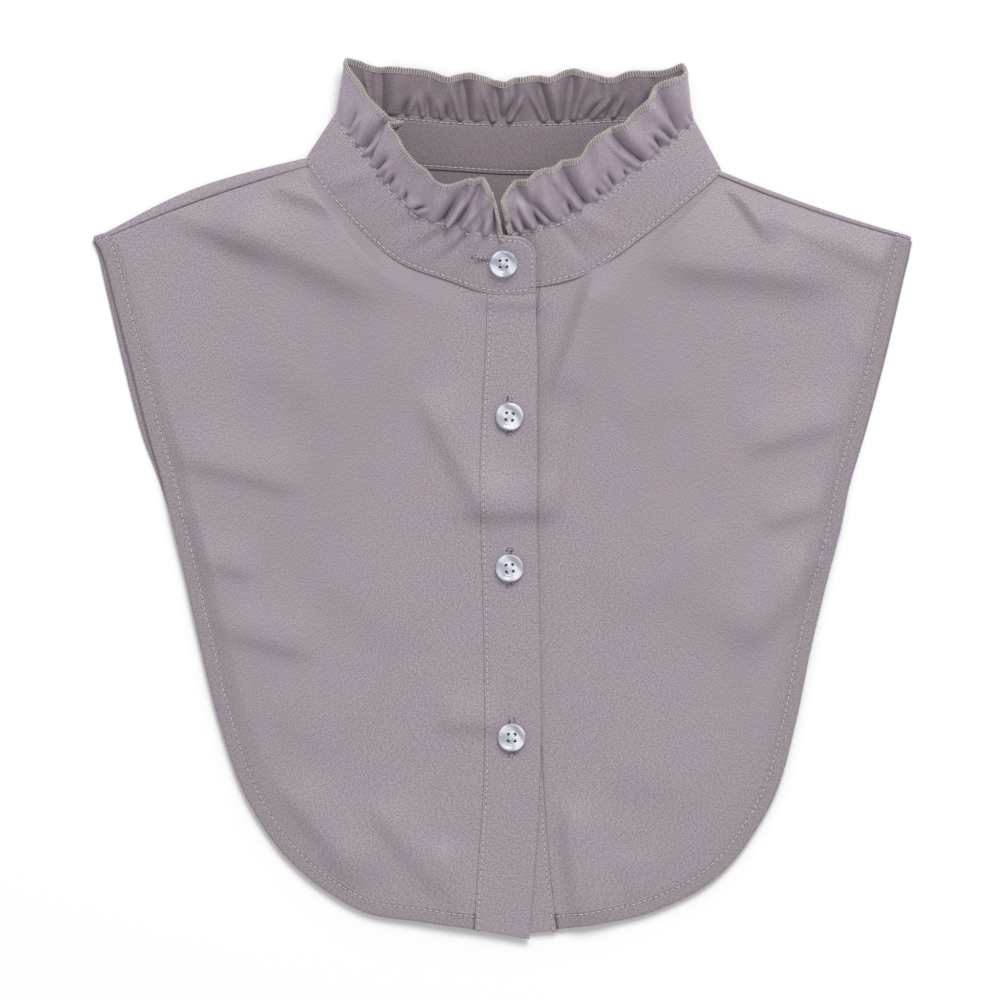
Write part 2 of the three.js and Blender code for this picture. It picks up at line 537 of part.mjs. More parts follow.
// The back, one sheet from shoulder to shoulder, and the strip that binds its edge
function backWhole() {
  const edgeInside = (side, width, level) => {
    const outs = (place) =>
      width - BINDING_WIDTH * column(EDGE_ROWS, "down", side.backKey, -place.y / BODY_LENGTH);
    const points = insideEdge(side, outs);
    points[0].addScaledVector(side.beyond, side.wrap);
    points.forEach((place) => place.setZ(level));
    return points;
  };
  const roundHem = (width, level) => {
    const points = edgeInside(LEFT, width, level);
    points.push(...edgeInside(RIGHT, width, level).reverse());
    return curveThrough(points);
  };
  const panelEdge = roundHem(BINDING_WIDTH + SEAM_GAP, BACK_LEVEL);
  const centreRow = (LEFT.backRow + RIGHT.backRow) / 2;
  const neckMiddle = neckEdge(centreRow).setZ(BACK_LEVEL);
  const half = (side, edgeShare) => {
    const corner = side.neckCorner.clone().addScaledVector(side.beyond, side.wrap).setZ(BACK_LEVEL);
    const neckPoints = [corner];
    for (let i = 0; i <= NECK_STEPS; i += 1) {
      neckPoints.push(neckEdge(mix(side.backRow, centreRow, i / NECK_STEPS)).setZ(BACK_LEVEL));
    }
    const neck = curveThrough(neckPoints);
    const tip = panelEdge.getPoint(edgeShare(0));
    const hem = panelEdge.getPointAt(0.5);
    return patch(
      (v) => panelEdge.getPointAt(edgeShare(v)),
      (v) => neck.getPointAt(v),
      shoulderLine(side, tip, corner),
      (u) => hem.clone().lerp(neckMiddle, u),
      BACK_STEPS,
    );
  };
  const leftHalf = half(LEFT, (v) => v / 2);
  const rightHalf = half(RIGHT, (v) => 1 - v / 2);
  const levels = (side, rows) =>
    rows[0].map((place, j) => mix(FRONT_LEVEL, side.neckCorner.z, j / (rows[0].length - 1)));
  const grid = [
    ...shoulderRoll(LEFT, leftHalf[0], levels(LEFT, leftHalf)).reverse(),
    ...leftHalf,
    ...rightHalf.slice(0, -1).reverse(),
    ...shoulderRoll(RIGHT, rightHalf[0], levels(RIGHT, rightHalf)),
  ];
  const outer = roundHem(0, BACK_BINDING_LEVEL);
  const inner = roundHem(BINDING_WIDTH, BACK_BINDING_LEVEL);
  const strip = [];
  for (let i = 0; i <= 2 * EDGE_STEPS; i += 1) {
    const t = i / (2 * EDGE_STEPS);
    strip.push([outer.getPointAt(t), inner.getPointAt(t)]);
  }
  const edgeLevels = [FRONT_LEVEL, FRONT_LEVEL];
  const binding = [
    ...shoulderRoll(LEFT, strip[0], edgeLevels).reverse(),
    ...strip,
    ...shoulderRoll(RIGHT, strip[strip.length - 1], edgeLevels),
  ];
  return { panel: wall(grid, PANEL_WALL), binding: wall(binding, BINDING_WALL) };
}

// A front band between its two long edges, hanging from the stand between two of NECK_ROWS
function bandGrid(leftEdge, rightEdge, fromRow, toRow) {
  return (across, t) => {
    const left = leftEdge(t);
    const place = left.clone().lerp(rightEdge(t), across);
    const top = neckEdge(mix(fromRow, toRow, across));
    const straightTop = leftEdge(0).lerp(rightEdge(0), across);
    place.y += (top.y - straightTop.y) * (1 - t);
    place.z += (top.z - straightTop.z) * Math.pow(1 - t, TOP_FADE);
    return place;
  };
}

function gridOf(surface, steps) {
  const grid = [];
  for (let i = 0; i <= steps.along; i += 1) {
    const row = [];
    for (let j = 0; j <= steps.across; j += 1) row.push(surface(j / steps.across, i / steps.along));
    grid.push(row);
  }
  return grid;
}

// The stand, with the rounded corner of its tab
function standGrid() {
  const stations = [];
  for (let i = 0; i < TAB_STEPS; i += 1) stations.push((i / TAB_STEPS) ** 2);
  for (let i = 1; i <= LAST_ROW; i += 1) {
    for (let k = 0; k < BAND_STEPS.along; k += 1) {
      if (i < LAST_ROW || k === 0) stations.push(i + k / BAND_STEPS.along);
    }
  }
  const start = bandAt(0, 1);
  return stations.map((at) => {
    const inside = Math.min(bandAt(at, 1).distanceTo(start), TAB_CORNER);
    const cut = TAB_CORNER - Math.sqrt(TAB_CORNER ** 2 - (TAB_CORNER - inside) ** 2);
    const full = at < TAB_END_ROW ? 1 - cut / BAND_HEIGHT : 1;
    const row = [];
    for (let j = 0; j <= BAND_STEPS.up; j += 1) row.push(bandAt(at, (full * j) / BAND_STEPS.up));
    return row;
  });
}

// The frill, gathered on the stand's top edge
function frillGrid() {
  const from = FRILL_ROWS[0].at;
  const to = FRILL_ROWS[FRILL_ROWS.length - 1].at;
  const grid = [];
  for (let i = 0; i <= FRILL_STEPS.along; i += 1) {
    const at = mix(from, to, i / FRILL_STEPS.along);
    const top = topAt(at);
    const up = frillAt(at).sub(top);
    const run = topAt(at + 0.05).sub(topAt(at - 0.05)).normalize();
    const off = up.clone().cross(run).normalize();
    const base = top.addScaledVector(topAt(at).sub(seamAt(at)).normalize(), FRILL_SEAM_GAP);
    const row = [];
    for (let j = 0; j <= FRILL_STEPS.up; j += 1) {
      const share = j / FRILL_STEPS.up;
      const place = base.clone().addScaledVector(up, share * column(FRILL_ROWS, "at", "reach", at));
      place.addScaledVector(run, share * FRILL_HEIGHT * column(FRILL_ROWS, "at", "sway", at));
      place.addScaledVector(off, share ** FRILL_WAVE_EASE * FRILL_WAVE * column(FRILL_ROWS, "at", "lift", at));
      row.push(place);
    }
    grid.push(row);
  }
  return grid;
}

// A round button with four holes, its underside on Z = 0
function buttonGeometry() {
  const radius = BUTTON_DIAMETER / 2;
  const profile = BUTTON_SECTION.map(
    (row) => new THREE.Vector2(row.radius * radius, row.height * BUTTON_HEIGHT),
  );
  const upright = new THREE.Matrix4().makeRotationX(Math.PI / 2);
  let solid = solidOf(new THREE.LatheGeometry(profile, BUTTON_SIDES).applyMatrix4(upright));
  const offset = BUTTON_HOLE_SPACING / 2;
  for (const x of [-offset, offset]) {
    for (const y of [-offset, offset]) {
      const pin = new THREE.CylinderGeometry(
        BUTTON_HOLE / 2,
        BUTTON_HOLE / 2,
        4 * BUTTON_HEIGHT,
        BUTTON_HOLE_SIDES,
      );
      pin.applyMatrix4(upright).translate(x, y, 0);
      solid = solid.subtract(solidOf(pin));
    }
  }
  return geometryOf(solid);
}

// Where a thing sits on a piece of cloth, seen from above
function seat(surface, across, along, lift) {
  const step = 0.01;
  const place = surface(across, along);
  const run = surface(across, along - step).sub(surface(across, along + step));
  const side = surface(across + step, along).sub(surface(across - step, along));
  const normal = side.cross(run).normalize();
  if (normal.z < 0) normal.negate();
  return placing(place.addScaledVector(normal, lift), normal, run.normalize());
}

const cloth = new THREE.MeshStandardMaterial({ color: 0xa3989f, roughness: 0.72, metalness: 0 });
const edging = new THREE.MeshStandardMaterial({ color: 0x8f8390, roughness: 0.72, metalness: 0 });
const frillCloth = new THREE.MeshStandardMaterial({ color: 0x9a8ea0, roughness: 0.66, metalness: 0 });
const pearl = new THREE.MeshStandardMaterial({ color: 0xdcdce4, roughness: 0.22, metalness: 0 });

const laid = new THREE.Group();
function add(name, geometry, material) {
  const mesh = new THREE.Mesh(geometry, material);
  mesh.name = name;
  laid.add(mesh);
  return mesh;
}

const upperLeft = (shift) =>
  bandEdge(LEFT_PLACKET_ROW, "upperLeft", HEM_END.upperLeft, UPPER_BAND_LEVEL, shift);
const underRight = (shift) =>
  bandEdge(RIGHT_PLACKET_ROW, "underRight", HEM_END.underRight, UNDER_BAND_LEVEL, shift);
const upperRight = bandEdge(0, "upperRight", HEM_END.upperRight, UPPER_BAND_LEVEL, 0);
const underLeft = (t) => {
  const right = underRight(0)(t);
  const x = right.x - UNDER_BAND_SHARE * PLACKET_WIDTH;
  const y = mix(neckEdge(UNDER_END_ROW).y, -HEM_END.underLeft * BODY_LENGTH, t);
  return point(x, y, right.z);
};

const back = backWhole();
add("back_panel", back.panel, cloth);
add("back_binding", back.binding, edging);
const rightFront = frontHalf(LEFT, upperLeft(-SEAM_GAP));
add("front_panel_right", rightFront.panel, cloth);
add("front_binding_right", rightFront.binding, edging);
const leftFront = frontHalf(RIGHT, underRight(SEAM_GAP));
add("front_panel_left", leftFront.panel, cloth);
add("front_binding_left", leftFront.binding, edging);

const underBand = bandGrid(underLeft, underRight(0), UNDER_END_ROW, RIGHT_PLACKET_ROW);
add("button_placket", wall(gridOf(underBand, PLACKET_STEPS), PLACKET_WALL), cloth);

const upperBand = bandGrid(upperLeft(0), upperRight, LEFT_PLACKET_ROW, 0);
let upperCloth = wall(gridOf(upperBand, PLACKET_STEPS), PLACKET_WALL);
const seats = BUTTON_ROWS.map((row) => {
  const x = PLACKET_SHIFT + row.across * PLACKET_WIDTH;
  const y = -row.down * BODY_LENGTH;
  const along = (upperLeft(0)(0).y - y) / (upperLeft(0)(0).y - upperLeft(0)(1).y);
  const from = upperLeft(0)(along).x;
  const across = (x - from) / (upperRight(along).x - from);
  return { name: row.name, across, along };
});
for (const { across, along } of seats) {
  upperCloth = slit(upperCloth, seat(upperBand, across, along, 0), PLACKET_WALL);
}
add("buttonhole_placket", upperCloth, cloth);

const standSurface = (up, at) => bandAt(at, up);
const tabHole = seat(standSurface, TAB_HOLE.up, TAB_HOLE.at, 0);
add("collar_band", slit(wall(standGrid(), BAND_WALL), tabHole, BAND_WALL), cloth);
add("collar_ruffle", wall(frillGrid(), FRILL_WALL), frillCloth);

const button = buttonGeometry();
function addButton(name, matrix) {
  add(name, button, pearl).applyMatrix4(matrix);
}
addButton("button_1", seat(standSurface, TAB_BUTTON.up, TAB_BUTTON.at, BAND_WALL / 2 + BUTTON_GAP));
for (const { name, across, along } of seats) {
  addButton(name, seat(upperBand, across, along, PLACKET_WALL / 2 + BUTTON_GAP));
}

// The part's origin is the middle of its footprint, on the surface that it lies on.
const box = new THREE.Box3().setFromObject(laid, true);
laid.position.set(-(box.min.x + box.max.x) / 2, -(box.min.y + box.max.y) / 2, -box.min.z);

const bib = new THREE.Group();
bib.add(laid);
export default bib;
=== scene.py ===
# Bib collar: a sleeveless false collar with a buttoned front and a frilled stand, lying on its back.
# Metres, +Z up, neck towards +Y, the wearer's right front at -X.
import math
import bpy
import numpy as np
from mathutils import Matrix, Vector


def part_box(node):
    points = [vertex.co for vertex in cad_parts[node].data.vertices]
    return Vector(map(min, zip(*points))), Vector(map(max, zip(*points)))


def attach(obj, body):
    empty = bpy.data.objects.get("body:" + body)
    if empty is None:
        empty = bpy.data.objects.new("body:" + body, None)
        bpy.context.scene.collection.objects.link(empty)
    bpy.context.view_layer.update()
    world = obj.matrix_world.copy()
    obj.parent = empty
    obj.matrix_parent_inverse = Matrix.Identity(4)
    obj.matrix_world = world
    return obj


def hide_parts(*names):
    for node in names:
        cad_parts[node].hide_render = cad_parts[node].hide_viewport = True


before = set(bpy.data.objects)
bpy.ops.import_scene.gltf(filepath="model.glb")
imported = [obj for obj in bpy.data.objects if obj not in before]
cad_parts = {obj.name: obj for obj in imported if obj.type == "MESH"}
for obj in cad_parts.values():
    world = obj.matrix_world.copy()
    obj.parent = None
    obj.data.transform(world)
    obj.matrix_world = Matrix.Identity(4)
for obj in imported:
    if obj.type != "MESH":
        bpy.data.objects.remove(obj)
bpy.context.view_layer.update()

# The table, light and camera. The collar lies on a plain white table under a soft light from the upper right,
# and the camera looks straight down on it from far off.
bpy.context.scene.view_settings.view_transform = "Standard"
table_reach = 16.0
table_level = -0.00005
corners = [(-1, -1), (1, -1), (1, 1), (-1, 1)]
table_mesh = bpy.data.meshes.new("table")
table_mesh.from_pydata(
    [(x * table_reach, y * table_reach, table_level) for x, y in corners], [], [(0, 1, 2, 3)])
table = bpy.data.objects.new("table", table_mesh)
bpy.context.collection.objects.link(table)
table_white = bpy.data.materials.new("table_white")
table_white.use_nodes = True
table_shader = table_white.node_tree.nodes["Principled BSDF"]
table_shader.inputs["Base Color"].default_value = (0.95, 0.95, 0.95, 1)
table_shader.inputs["Roughness"].default_value = 0.9
table_shader.inputs["Specular IOR Level"].default_value = 0.1
table_mesh.materials.append(table_white)

world = bpy.data.worlds.new("light_tent")
world.use_nodes = True
world.node_tree.nodes["Background"].inputs["Color"].default_value = (1.0, 0.978, 1.008, 1)
world.node_tree.nodes["Background"].inputs["Strength"].default_value = 0.645
bpy.context.scene.world = world

softbox = bpy.data.lights.new("softbox", "AREA")
softbox.shape = "RECTANGLE"
softbox_width = 1.4
softbox.size = softbox_width
softbox.size_y = softbox_width
softbox.energy = 64
softbox.color = (0.985, 1.0, 0.975)
softbox_place = (0.5, 1.95, 2.42)
softbox_object = bpy.data.objects.new("softbox", softbox)
softbox_object.location = softbox_place
toward = -np.array(softbox_place)
softbox_object.rotation_euler = (
    math.acos(-toward[2] / np.linalg.norm(toward)), 0, math.atan2(toward[1], toward[0]) - math.pi / 2)
bpy.context.collection.objects.link(softbox_object)

camera_height = 4.0
camera_field = 0.41
camera_data = bpy.data.cameras.new("camera")
camera_data.sensor_width = 36
camera_data.lens = camera_data.sensor_width * camera_height / camera_field
camera_data.clip_end = 100
camera = bpy.data.objects.new("camera", camera_data)
camera_aside = -0.0006  # the photo's middle lies a little to the left of the collar's and below it
camera.location = (camera_aside, camera_aside, camera_height)
bpy.context.collection.objects.link(camera)
bpy.context.scene.camera = camera

# The back: one piece of mauve-grey satin from shoulder to shoulder, lying on the table. Its cloth rolls over
# both shoulders to the seams of the fronts. Only its rolled shoulders, a sliver of its edge and a little of
# its inside below the neck show.
HALF_WIDTH = 0.1685
BODY_LENGTH = 0.320
BINDING_WIDTH = 0.007
BINDING_WALL = 0.0015
PANEL_WALL = 0.0010
LAYER_GAP = 0.0004
BACK_LEVEL = PANEL_WALL / 2
BACK_BINDING_LEVEL = BINDING_WALL / 2
FRONT_LEVEL = BINDING_WALL * 1.5 + LAYER_GAP
SHOULDER_NECK_RISE = 0.0013
SHOULDER_TURN = 0.85 * math.pi
SHOULDER_STEPS = 12
NECK_CORNER_IN = 0.0008  # from the stand's side fold to where front, back and stand meet
TIP_EASE = 0.08  # share of the outer edge, from the tip on, where a line inside it leaves the shoulder seam
WRAP_FADE = 12  # the lap over the shoulder fades out in one part in twelve of the outer edge
RUN_STEP = 0.05  # count along NECK_ROWS from a place to those that give its direction
UNDER_EDGE = 0.0006  # how far a sewn edge reaches under its neighbour
NECK_POINT = np.array([-0.000226, 0.139589, 0.0])  # where the tables below have their origin


def rows_of(columns, *rows):
    """A table: a dict for each row of values, with the names of the columns given once."""
    return [dict(zip(columns.split(), row)) for row in rows]


# Outer edge of a front half, from the shoulder tip down the armhole and round the hem.
# down: share of BODY_LENGTH; left, right: shares of HALF_WIDTH;
# back_left, back_right: how far the back's edge stands out past it, shares of BINDING_WIDTH.
EDGE_ROWS = rows_of(
    "down left right back_left back_right",
    (0.107, -0.988, 0.995, 0.10, 0.12),
    (0.1135, -0.978, 0.993, 0.16, 0.13),
    (0.133, -0.963, 0.984, 0.28, 0.14),
    (0.169, -0.946, 0.968, 0.32, 0.14),
    (0.259, -0.903, 0.929, 0.40, 0.12),
    (0.351, -0.859, 0.883, 0.37, 0.10),
    (0.413, -0.825, 0.850, 0.15, 0.04),
    (0.474, -0.798, 0.827, -0.04, -0.08),
    (0.536, -0.769, 0.796, -0.12, -0.12),
    (0.628, -0.730, 0.754, -0.12, -0.12),
    (0.721, -0.686, 0.718, -0.12, -0.12),
    (0.813, -0.625, 0.669, -0.12, -0.12),
    (0.874, -0.555, 0.603, -0.12, -0.12),
    (0.905, -0.504, 0.557, -0.12, -0.12),
    (0.936, -0.433, 0.487, -0.12, -0.12),
    (0.967, -0.326, 0.360, -0.12, -0.12),
    (0.978, -0.197, 0.272, -0.12, -0.12),
    (0.988, -0.066, 0.148, -0.10, -0.10))

# The stand, from the end of the tab round the neck to the end that lies under the tab.
# across, down, rise: the neck seam, shares of NECK_HALF, NECK_DROP and COLLAR_RISE;
# lean: x, y, z from the seam to the top edge, shares of BAND_HEIGHT;
# frill: x, y, z from there to the edge of the frill, shares of FRILL_HEIGHT.
NECK_HALF = 0.08475
NECK_SHIFT = 0.005
NECK_DROP = 0.0565
COLLAR_RISE = 0.0104
BAND_HEIGHT = 0.0245
BAND_WALL = 0.0016
NECK_ROWS = rows_of(
    "across down rise lean frill",
    (0.109, 0.986, 0.99, (0.03, 0.97, 0.31), (-0.10, 0.90, 0.38)),
    (-0.017, 1.000, 1.00, (-0.05, 0.99, 0.33), (-0.12, 0.92, 0.42)),
    (-0.128, 0.986, 0.99, (0.03, 0.99, 0.35), (0.06, 0.95, 0.46)),
    (-0.317, 0.891, 0.94, (0.20, 0.89, 0.37), (0.17, 0.96, 0.50)),
    (-0.559, 0.754, 0.89, (0.37, 0.80, 0.37), (0.36, 0.78, 0.54)),
    (-0.792, 0.449, 0.78, (0.60, 0.65, 0.35), (0.52, 0.67, 0.51)),
    (-0.927, 0.217, 0.62, (0.74, 0.60, 0.31), (0.62, 0.63, 0.44)),
    (-0.981, 0.087, 0.44, (0.65, 0.64, 0.22), (0.42, 0.84, 0.28)),
    (-1.000, 0.022, 0.25, (0.53, 0.79, 0.13), (0.19, 1.12, 0.13)),
    (-0.956, -0.007, 0.12, (0.47, 0.79, 0.06), (0.27, 1.03, 0.10)),
    (-0.816, 0.022, 0.09, (0.35, 0.82, 0.05), (0.21, 0.97, 0.13)),
    (-0.550, 0.072, 0.09, (0.27, 0.87, 0.05), (0.19, 1.00, 0.13)),
    (-0.259, 0.101, 0.09, (0.07, 0.87, 0.05), (0.04, 0.99, 0.15)),
    (-0.007, 0.123, 0.09, (0.00, 0.90, 0.05), (0.00, 0.94, 0.15)),
    (0.274, 0.116, 0.09, (-0.07, 0.90, 0.05), (-0.08, 1.02, 0.15)),
    (0.564, 0.087, 0.09, (-0.13, 0.89, 0.05), (-0.13, 0.90, 0.13)),
    (0.831, 0.072, 0.09, (-0.28, 0.90, 0.05), (-0.25, 0.95, 0.13)),
    (0.956, 0.065, 0.12, (-0.45, 0.90, 0.06), (-0.25, 1.00, 0.10)),
    (1.000, 0.101, 0.25, (-0.50, 0.92, 0.13), (-0.17, 1.14, 0.13)),
    (0.966, 0.167, 0.44, (-0.53, 0.85, 0.22), (-0.19, 1.04, 0.25)),
    (0.840, 0.326, 0.60, (-0.62, 0.75, 0.31), (-0.46, 0.86, 0.40)),
    (0.637, 0.565, 0.68, (-0.59, 0.77, 0.35), (-0.29, 1.08, 0.42)),
    (0.366, 0.841, 0.70, (-0.33, 0.98, 0.33), (-0.11, 1.06, 0.44)),
    (0.167, 0.928, 0.68, (-0.15, 1.00, 0.33), (-0.02, 1.10, 0.42)),
    (0.007, 0.957, 0.66, (-0.09, 0.92, 0.33), (-0.02, 1.00, 0.42)),
    (-0.128, 0.935, 0.64, (0.00, 0.85, 0.33), (0.00, 0.92, 0.42)))
LAST_ROW = len(NECK_ROWS) - 1
TAB_END_ROW = 0
UPPER_SEAM_ROW = 2  # where the upper band's sewn edge meets the stand
UNDER_SEAM_ROW = 23.25  # where the lower band's sewn edge meets it
UNDER_END_ROW = 25


def smoothstep(share):
    """An even start and stop between 0 and 1."""
    share = np.clip(share, 0, 1)
    return share * share * (3 - 2 * share)


def unit(vectors):
    """Vectors of length 1 in the same directions."""
    return vectors / np.maximum(np.linalg.norm(vectors, axis=-1, keepdims=True), 1e-12)


def column(rows, key, name, at):
    """A table's column at each place in at, on a smooth curve through its rows."""
    keys = np.array([row[key] for row in rows], float)
    values = np.array([row[name] for row in rows], float)
    number = np.arange(len(keys))
    before = np.maximum(number - 1, 0)
    after = np.minimum(number + 1, len(keys) - 1)
    slope = (values[after] - values[before]) / (keys[after] - keys[before])
    row = np.clip(np.searchsorted(keys, at) - 1, 0, len(keys) - 2)
    span = keys[row + 1] - keys[row]
    share = np.clip((at - keys[row]) / span, 0, 1)
    rise = values[row + 1] - values[row]
    bend = (1 - share) * (slope[row] * span - rise) - share * (slope[row + 1] * span - rise)
    return values[row] + share * rise + share * (1 - share) * bend


def far_along(places):
    """How far each place of a line lies from its first one."""
    return np.concatenate([[0], np.cumsum(np.linalg.norm(np.diff(places, axis=0), axis=1))])


def place_at(at, keys, places):
    """Places at some keys, straight between the given ones."""
    return np.stack([np.interp(at, keys, places[:, k]) for k in range(3)], axis=-1)


def line_through(points, fine=24):
    """A smooth line through chosen points, as two functions: of a count along them, and of a share of its
    length."""
    chosen = np.array(points, float)
    ends = np.vstack([2 * chosen[0] - chosen[1], chosen, 2 * chosen[-1] - chosen[-2]])
    gaps = np.sqrt(np.maximum(np.linalg.norm(np.diff(ends, axis=0), axis=1), 1e-9))[:, None]
    before, within, after = gaps[:-2], gaps[1:-1], gaps[2:]
    a, b, c, d = ends[:-3], ends[1:-2], ends[2:-1], ends[3:]
    leave = within * ((b - a) / before - (c - a) / (before + within) + (c - b) / within)
    arrive = within * ((c - b) / within - (d - b) / (within + after) + (d - c) / after)
    t = np.linspace(0, 1, fine, endpoint=False)[:, None, None]
    bent = b + t * leave + t**2 * (3 * (c - b) - 2 * leave - arrive) + t**3 * (2 * (b - c) + leave + arrive)
    places = np.vstack([bent.transpose(1, 0, 2).reshape(-1, 3), chosen[-1:]])
    counts = np.linspace(0, len(chosen) - 1, len(places))
    lengths = far_along(places)
    lengths /= lengths[-1]
    return lambda at: place_at(at, counts, places), lambda share: place_at(share, lengths, places)


def patch(outer, neck, shoulder, middle, along, across):
    """Grid of places between four edges. outer and neck run from the shoulder to the middle of the bib,
    shoulder and middle run from the outer edge to the neck."""
    v = along[:, None, None]
    u = across[None, :, None]
    between = (1 - u) * outer(along)[:, None] + u * neck(along)[:, None]
    beside = (1 - v) * shoulder(across)[None] + v * middle(across)[None]
    start = (1 - u) * outer(0.0) + u * neck(0.0)
    end = (1 - u) * outer(1.0) + u * neck(1.0)
    return between + beside - ((1 - v) * start + v * end)


def close_at_ends(count, width, wall):
    """Shares from 0 to 1, with a few close to both ends, where the edge of the cloth is rounded."""
    rim = np.array([0, 0.04, 0.16, 0.36, 0.65, 1.0]) * wall / 2 / width
    return np.concatenate([rim[:-1], np.linspace(rim[-1], 1 - rim[-1], count), 1 - rim[-2::-1]])


def lengths_along(grid, axis):
    """How far each place of a grid lies from its first row or column, along the cloth."""
    steps = np.linalg.norm(np.diff(grid, axis=axis), axis=2)
    first = np.zeros_like(steps.take([0], axis=axis))
    return np.concatenate([first, np.cumsum(steps, axis=axis)], axis=axis)


def cloth_normals(grid):
    """The unit normal at each place of a grid."""
    return unit(np.cross(np.gradient(grid, axis=0), np.gradient(grid, axis=1)))


STITCH_DENT = 0.00022  # how deep a row of stitches pulls the cloth in
STITCH_DENT_WIDTH = 0.0006


def cloth(name, grid, wall, material, dents=(), inner=None):
    """A closed sheet of cloth with rounded edges, round a grid of places in the middle of its thickness.
    dents: (edge, distance from it) of each row of stitches. inner: finish of the face on the normals' side,
    where it differs. Its UV map is the flat cloth, in metres."""
    rows, columns = grid.shape[:2]
    down = lengths_along(grid, 0)
    over = lengths_along(grid, 1)
    away = dict(
        first_row=down, last_row=down[-1:] - down, first_column=over, last_column=over[:, -1:] - over)
    inside = np.minimum.reduce(list(away.values())) / (wall / 2)
    half = wall / 2 * np.sqrt(np.clip(1 - (1 - np.clip(inside, 0, 1)) ** 2, 0, 1))
    for edge, distance in dents:
        beside = (away[edge] - distance) / STITCH_DENT_WIDTH
        half = half - np.minimum(STITCH_DENT * np.exp(-(beside**2)), half)
    offset = cloth_normals(grid) * half[..., None]
    upper = np.arange(rows * columns).reshape(rows, columns)
    lower = upper.copy()
    lower[1:-1, 1:-1] = rows * columns + np.arange((rows - 2) * (columns - 2)).reshape(rows - 2, columns - 2)
    places = np.vstack([(grid + offset).reshape(-1, 3), (grid - offset)[1:-1, 1:-1].reshape(-1, 3)])
    places = places + NECK_POINT
    quads = lambda g: np.stack([g[:-1, :-1], g[1:, :-1], g[1:, 1:], g[:-1, 1:]], axis=-1).reshape(-1, 4)
    faces = np.vstack([quads(upper), quads(lower)[:, ::-1]])
    mesh = bpy.data.meshes.new(name)
    mesh.from_pydata(places.tolist(), [], faces.tolist())
    flat = np.stack([over, down], axis=-1)
    flat = np.vstack([flat.reshape(-1, 2), flat[1:-1, 1:-1].reshape(-1, 2)])
    corner = np.zeros(len(mesh.loops), int)
    mesh.loops.foreach_get("vertex_index", corner)
    mesh.uv_layers.new(name="cloth").data.foreach_set("uv", flat[corner].ravel())
    mesh.polygons.foreach_set("use_smooth", np.ones(len(faces), bool))
    mesh.materials.append(material)
    if inner:
        mesh.materials.append(inner)
        mesh.polygons.foreach_set("material_index", np.arange(len(faces)) < len(faces) // 2)
    piece = bpy.data.objects.new(name, mesh)
    bpy.context.collection.objects.link(piece)
    return piece


def bare_finish(name, values):
    """A new material, with these values set on its shader, and its tree."""
    material = bpy.data.materials.new(name)
    material.use_nodes = True
    shader = material.node_tree.nodes["Principled BSDF"]
    for socket, value in values.items():
        shader.inputs[socket].default_value = value
    return material, material.node_tree


def add_node(tree, kind, values, **settings):
    """A new node of a tree, with a number, a colour or another node's output at each of its inputs."""
    node = tree.nodes.new(kind)
    for key, setting in settings.items():
        setattr(node, key, setting)
    for socket, value in values.items():
        if isinstance(value, bpy.types.NodeSocket):
            tree.links.new(value, node.inputs[socket])
        else:
            node.inputs[socket].default_value = value
    return node


def ramp(tree, value, low, high, start, stop):
    """A colour that goes from low to high while value goes from start to stop."""
    node = add_node(tree, "ShaderNodeValToRGB", {"Fac": value})
    for element, position, colour in zip(node.color_ramp.elements, (start, stop), (low, high)):
        element.position = position
        element.color = (*colour, 1)
    return node.outputs["Color"]


def join_to_shader(tree, colour, height, strength, distance):
    """Joins a colour to a material's shader, and a height as a fine relief, distance metres deep."""
    values = {"Strength": strength, "Distance": distance, "Height": height}
    bump = add_node(tree, "ShaderNodeBump", values)
    shader = tree.nodes["Principled BSDF"]
    tree.links.new(colour, shader.inputs["Base Color"])
    tree.links.new(bump.outputs["Normal"], shader.inputs["Normal"])


GRAIN_SIZE = 0.0007
PATCH_SIZE = 0.024
FIBRE_SIZE = 0.0009
WEAVE_SCALE = 900
SATIN_RELIEF = 0.00006


def satin(name, light, dark, roughness=0.5):
    """Fine satin: a soft sheen, a grain of thread ends and faint warm and cool patches."""
    material, tree = bare_finish(name, {
        "Roughness": roughness, "Specular IOR Level": 0.35, "Sheen Weight": 0.25, "Sheen Roughness": 0.4,
        "Sheen Tint": (0.85, 0.78, 0.9, 1)})
    flat = add_node(tree, "ShaderNodeUVMap", {}, uv_map="cloth").outputs["UV"]

    def noise(size, detail):
        values = {"Scale": 1 / size, "Detail": detail, "Vector": flat}
        return add_node(tree, "ShaderNodeTexNoise", values).outputs["Fac"]

    grain = ramp(tree, noise(GRAIN_SIZE, 2), dark, light, 0.32, 0.68)
    patches = ramp(tree, noise(PATCH_SIZE, 3), (0.978, 0.99, 1.022), (1.02, 1.0, 0.98), 0.35, 0.65)
    mix = add_node(
        tree, "ShaderNodeMix", {"Factor": 1.0, "A": grain, "B": patches}, data_type="RGBA",
        blend_type="MULTIPLY")
    values = {"Scale": WEAVE_SCALE, "Distortion": 1.5, "Vector": flat}
    weave = add_node(tree, "ShaderNodeTexWave", values, wave_type="BANDS", bands_direction="DIAGONAL")
    heights = {0: weave.outputs["Fac"], 1: noise(FIBRE_SIZE, 2)}
    relief = add_node(tree, "ShaderNodeMath", heights, operation="ADD")
    join_to_shader(tree, mix.outputs["Result"], relief.outputs["Value"], 0.5, SATIN_RELIEF)
    return material


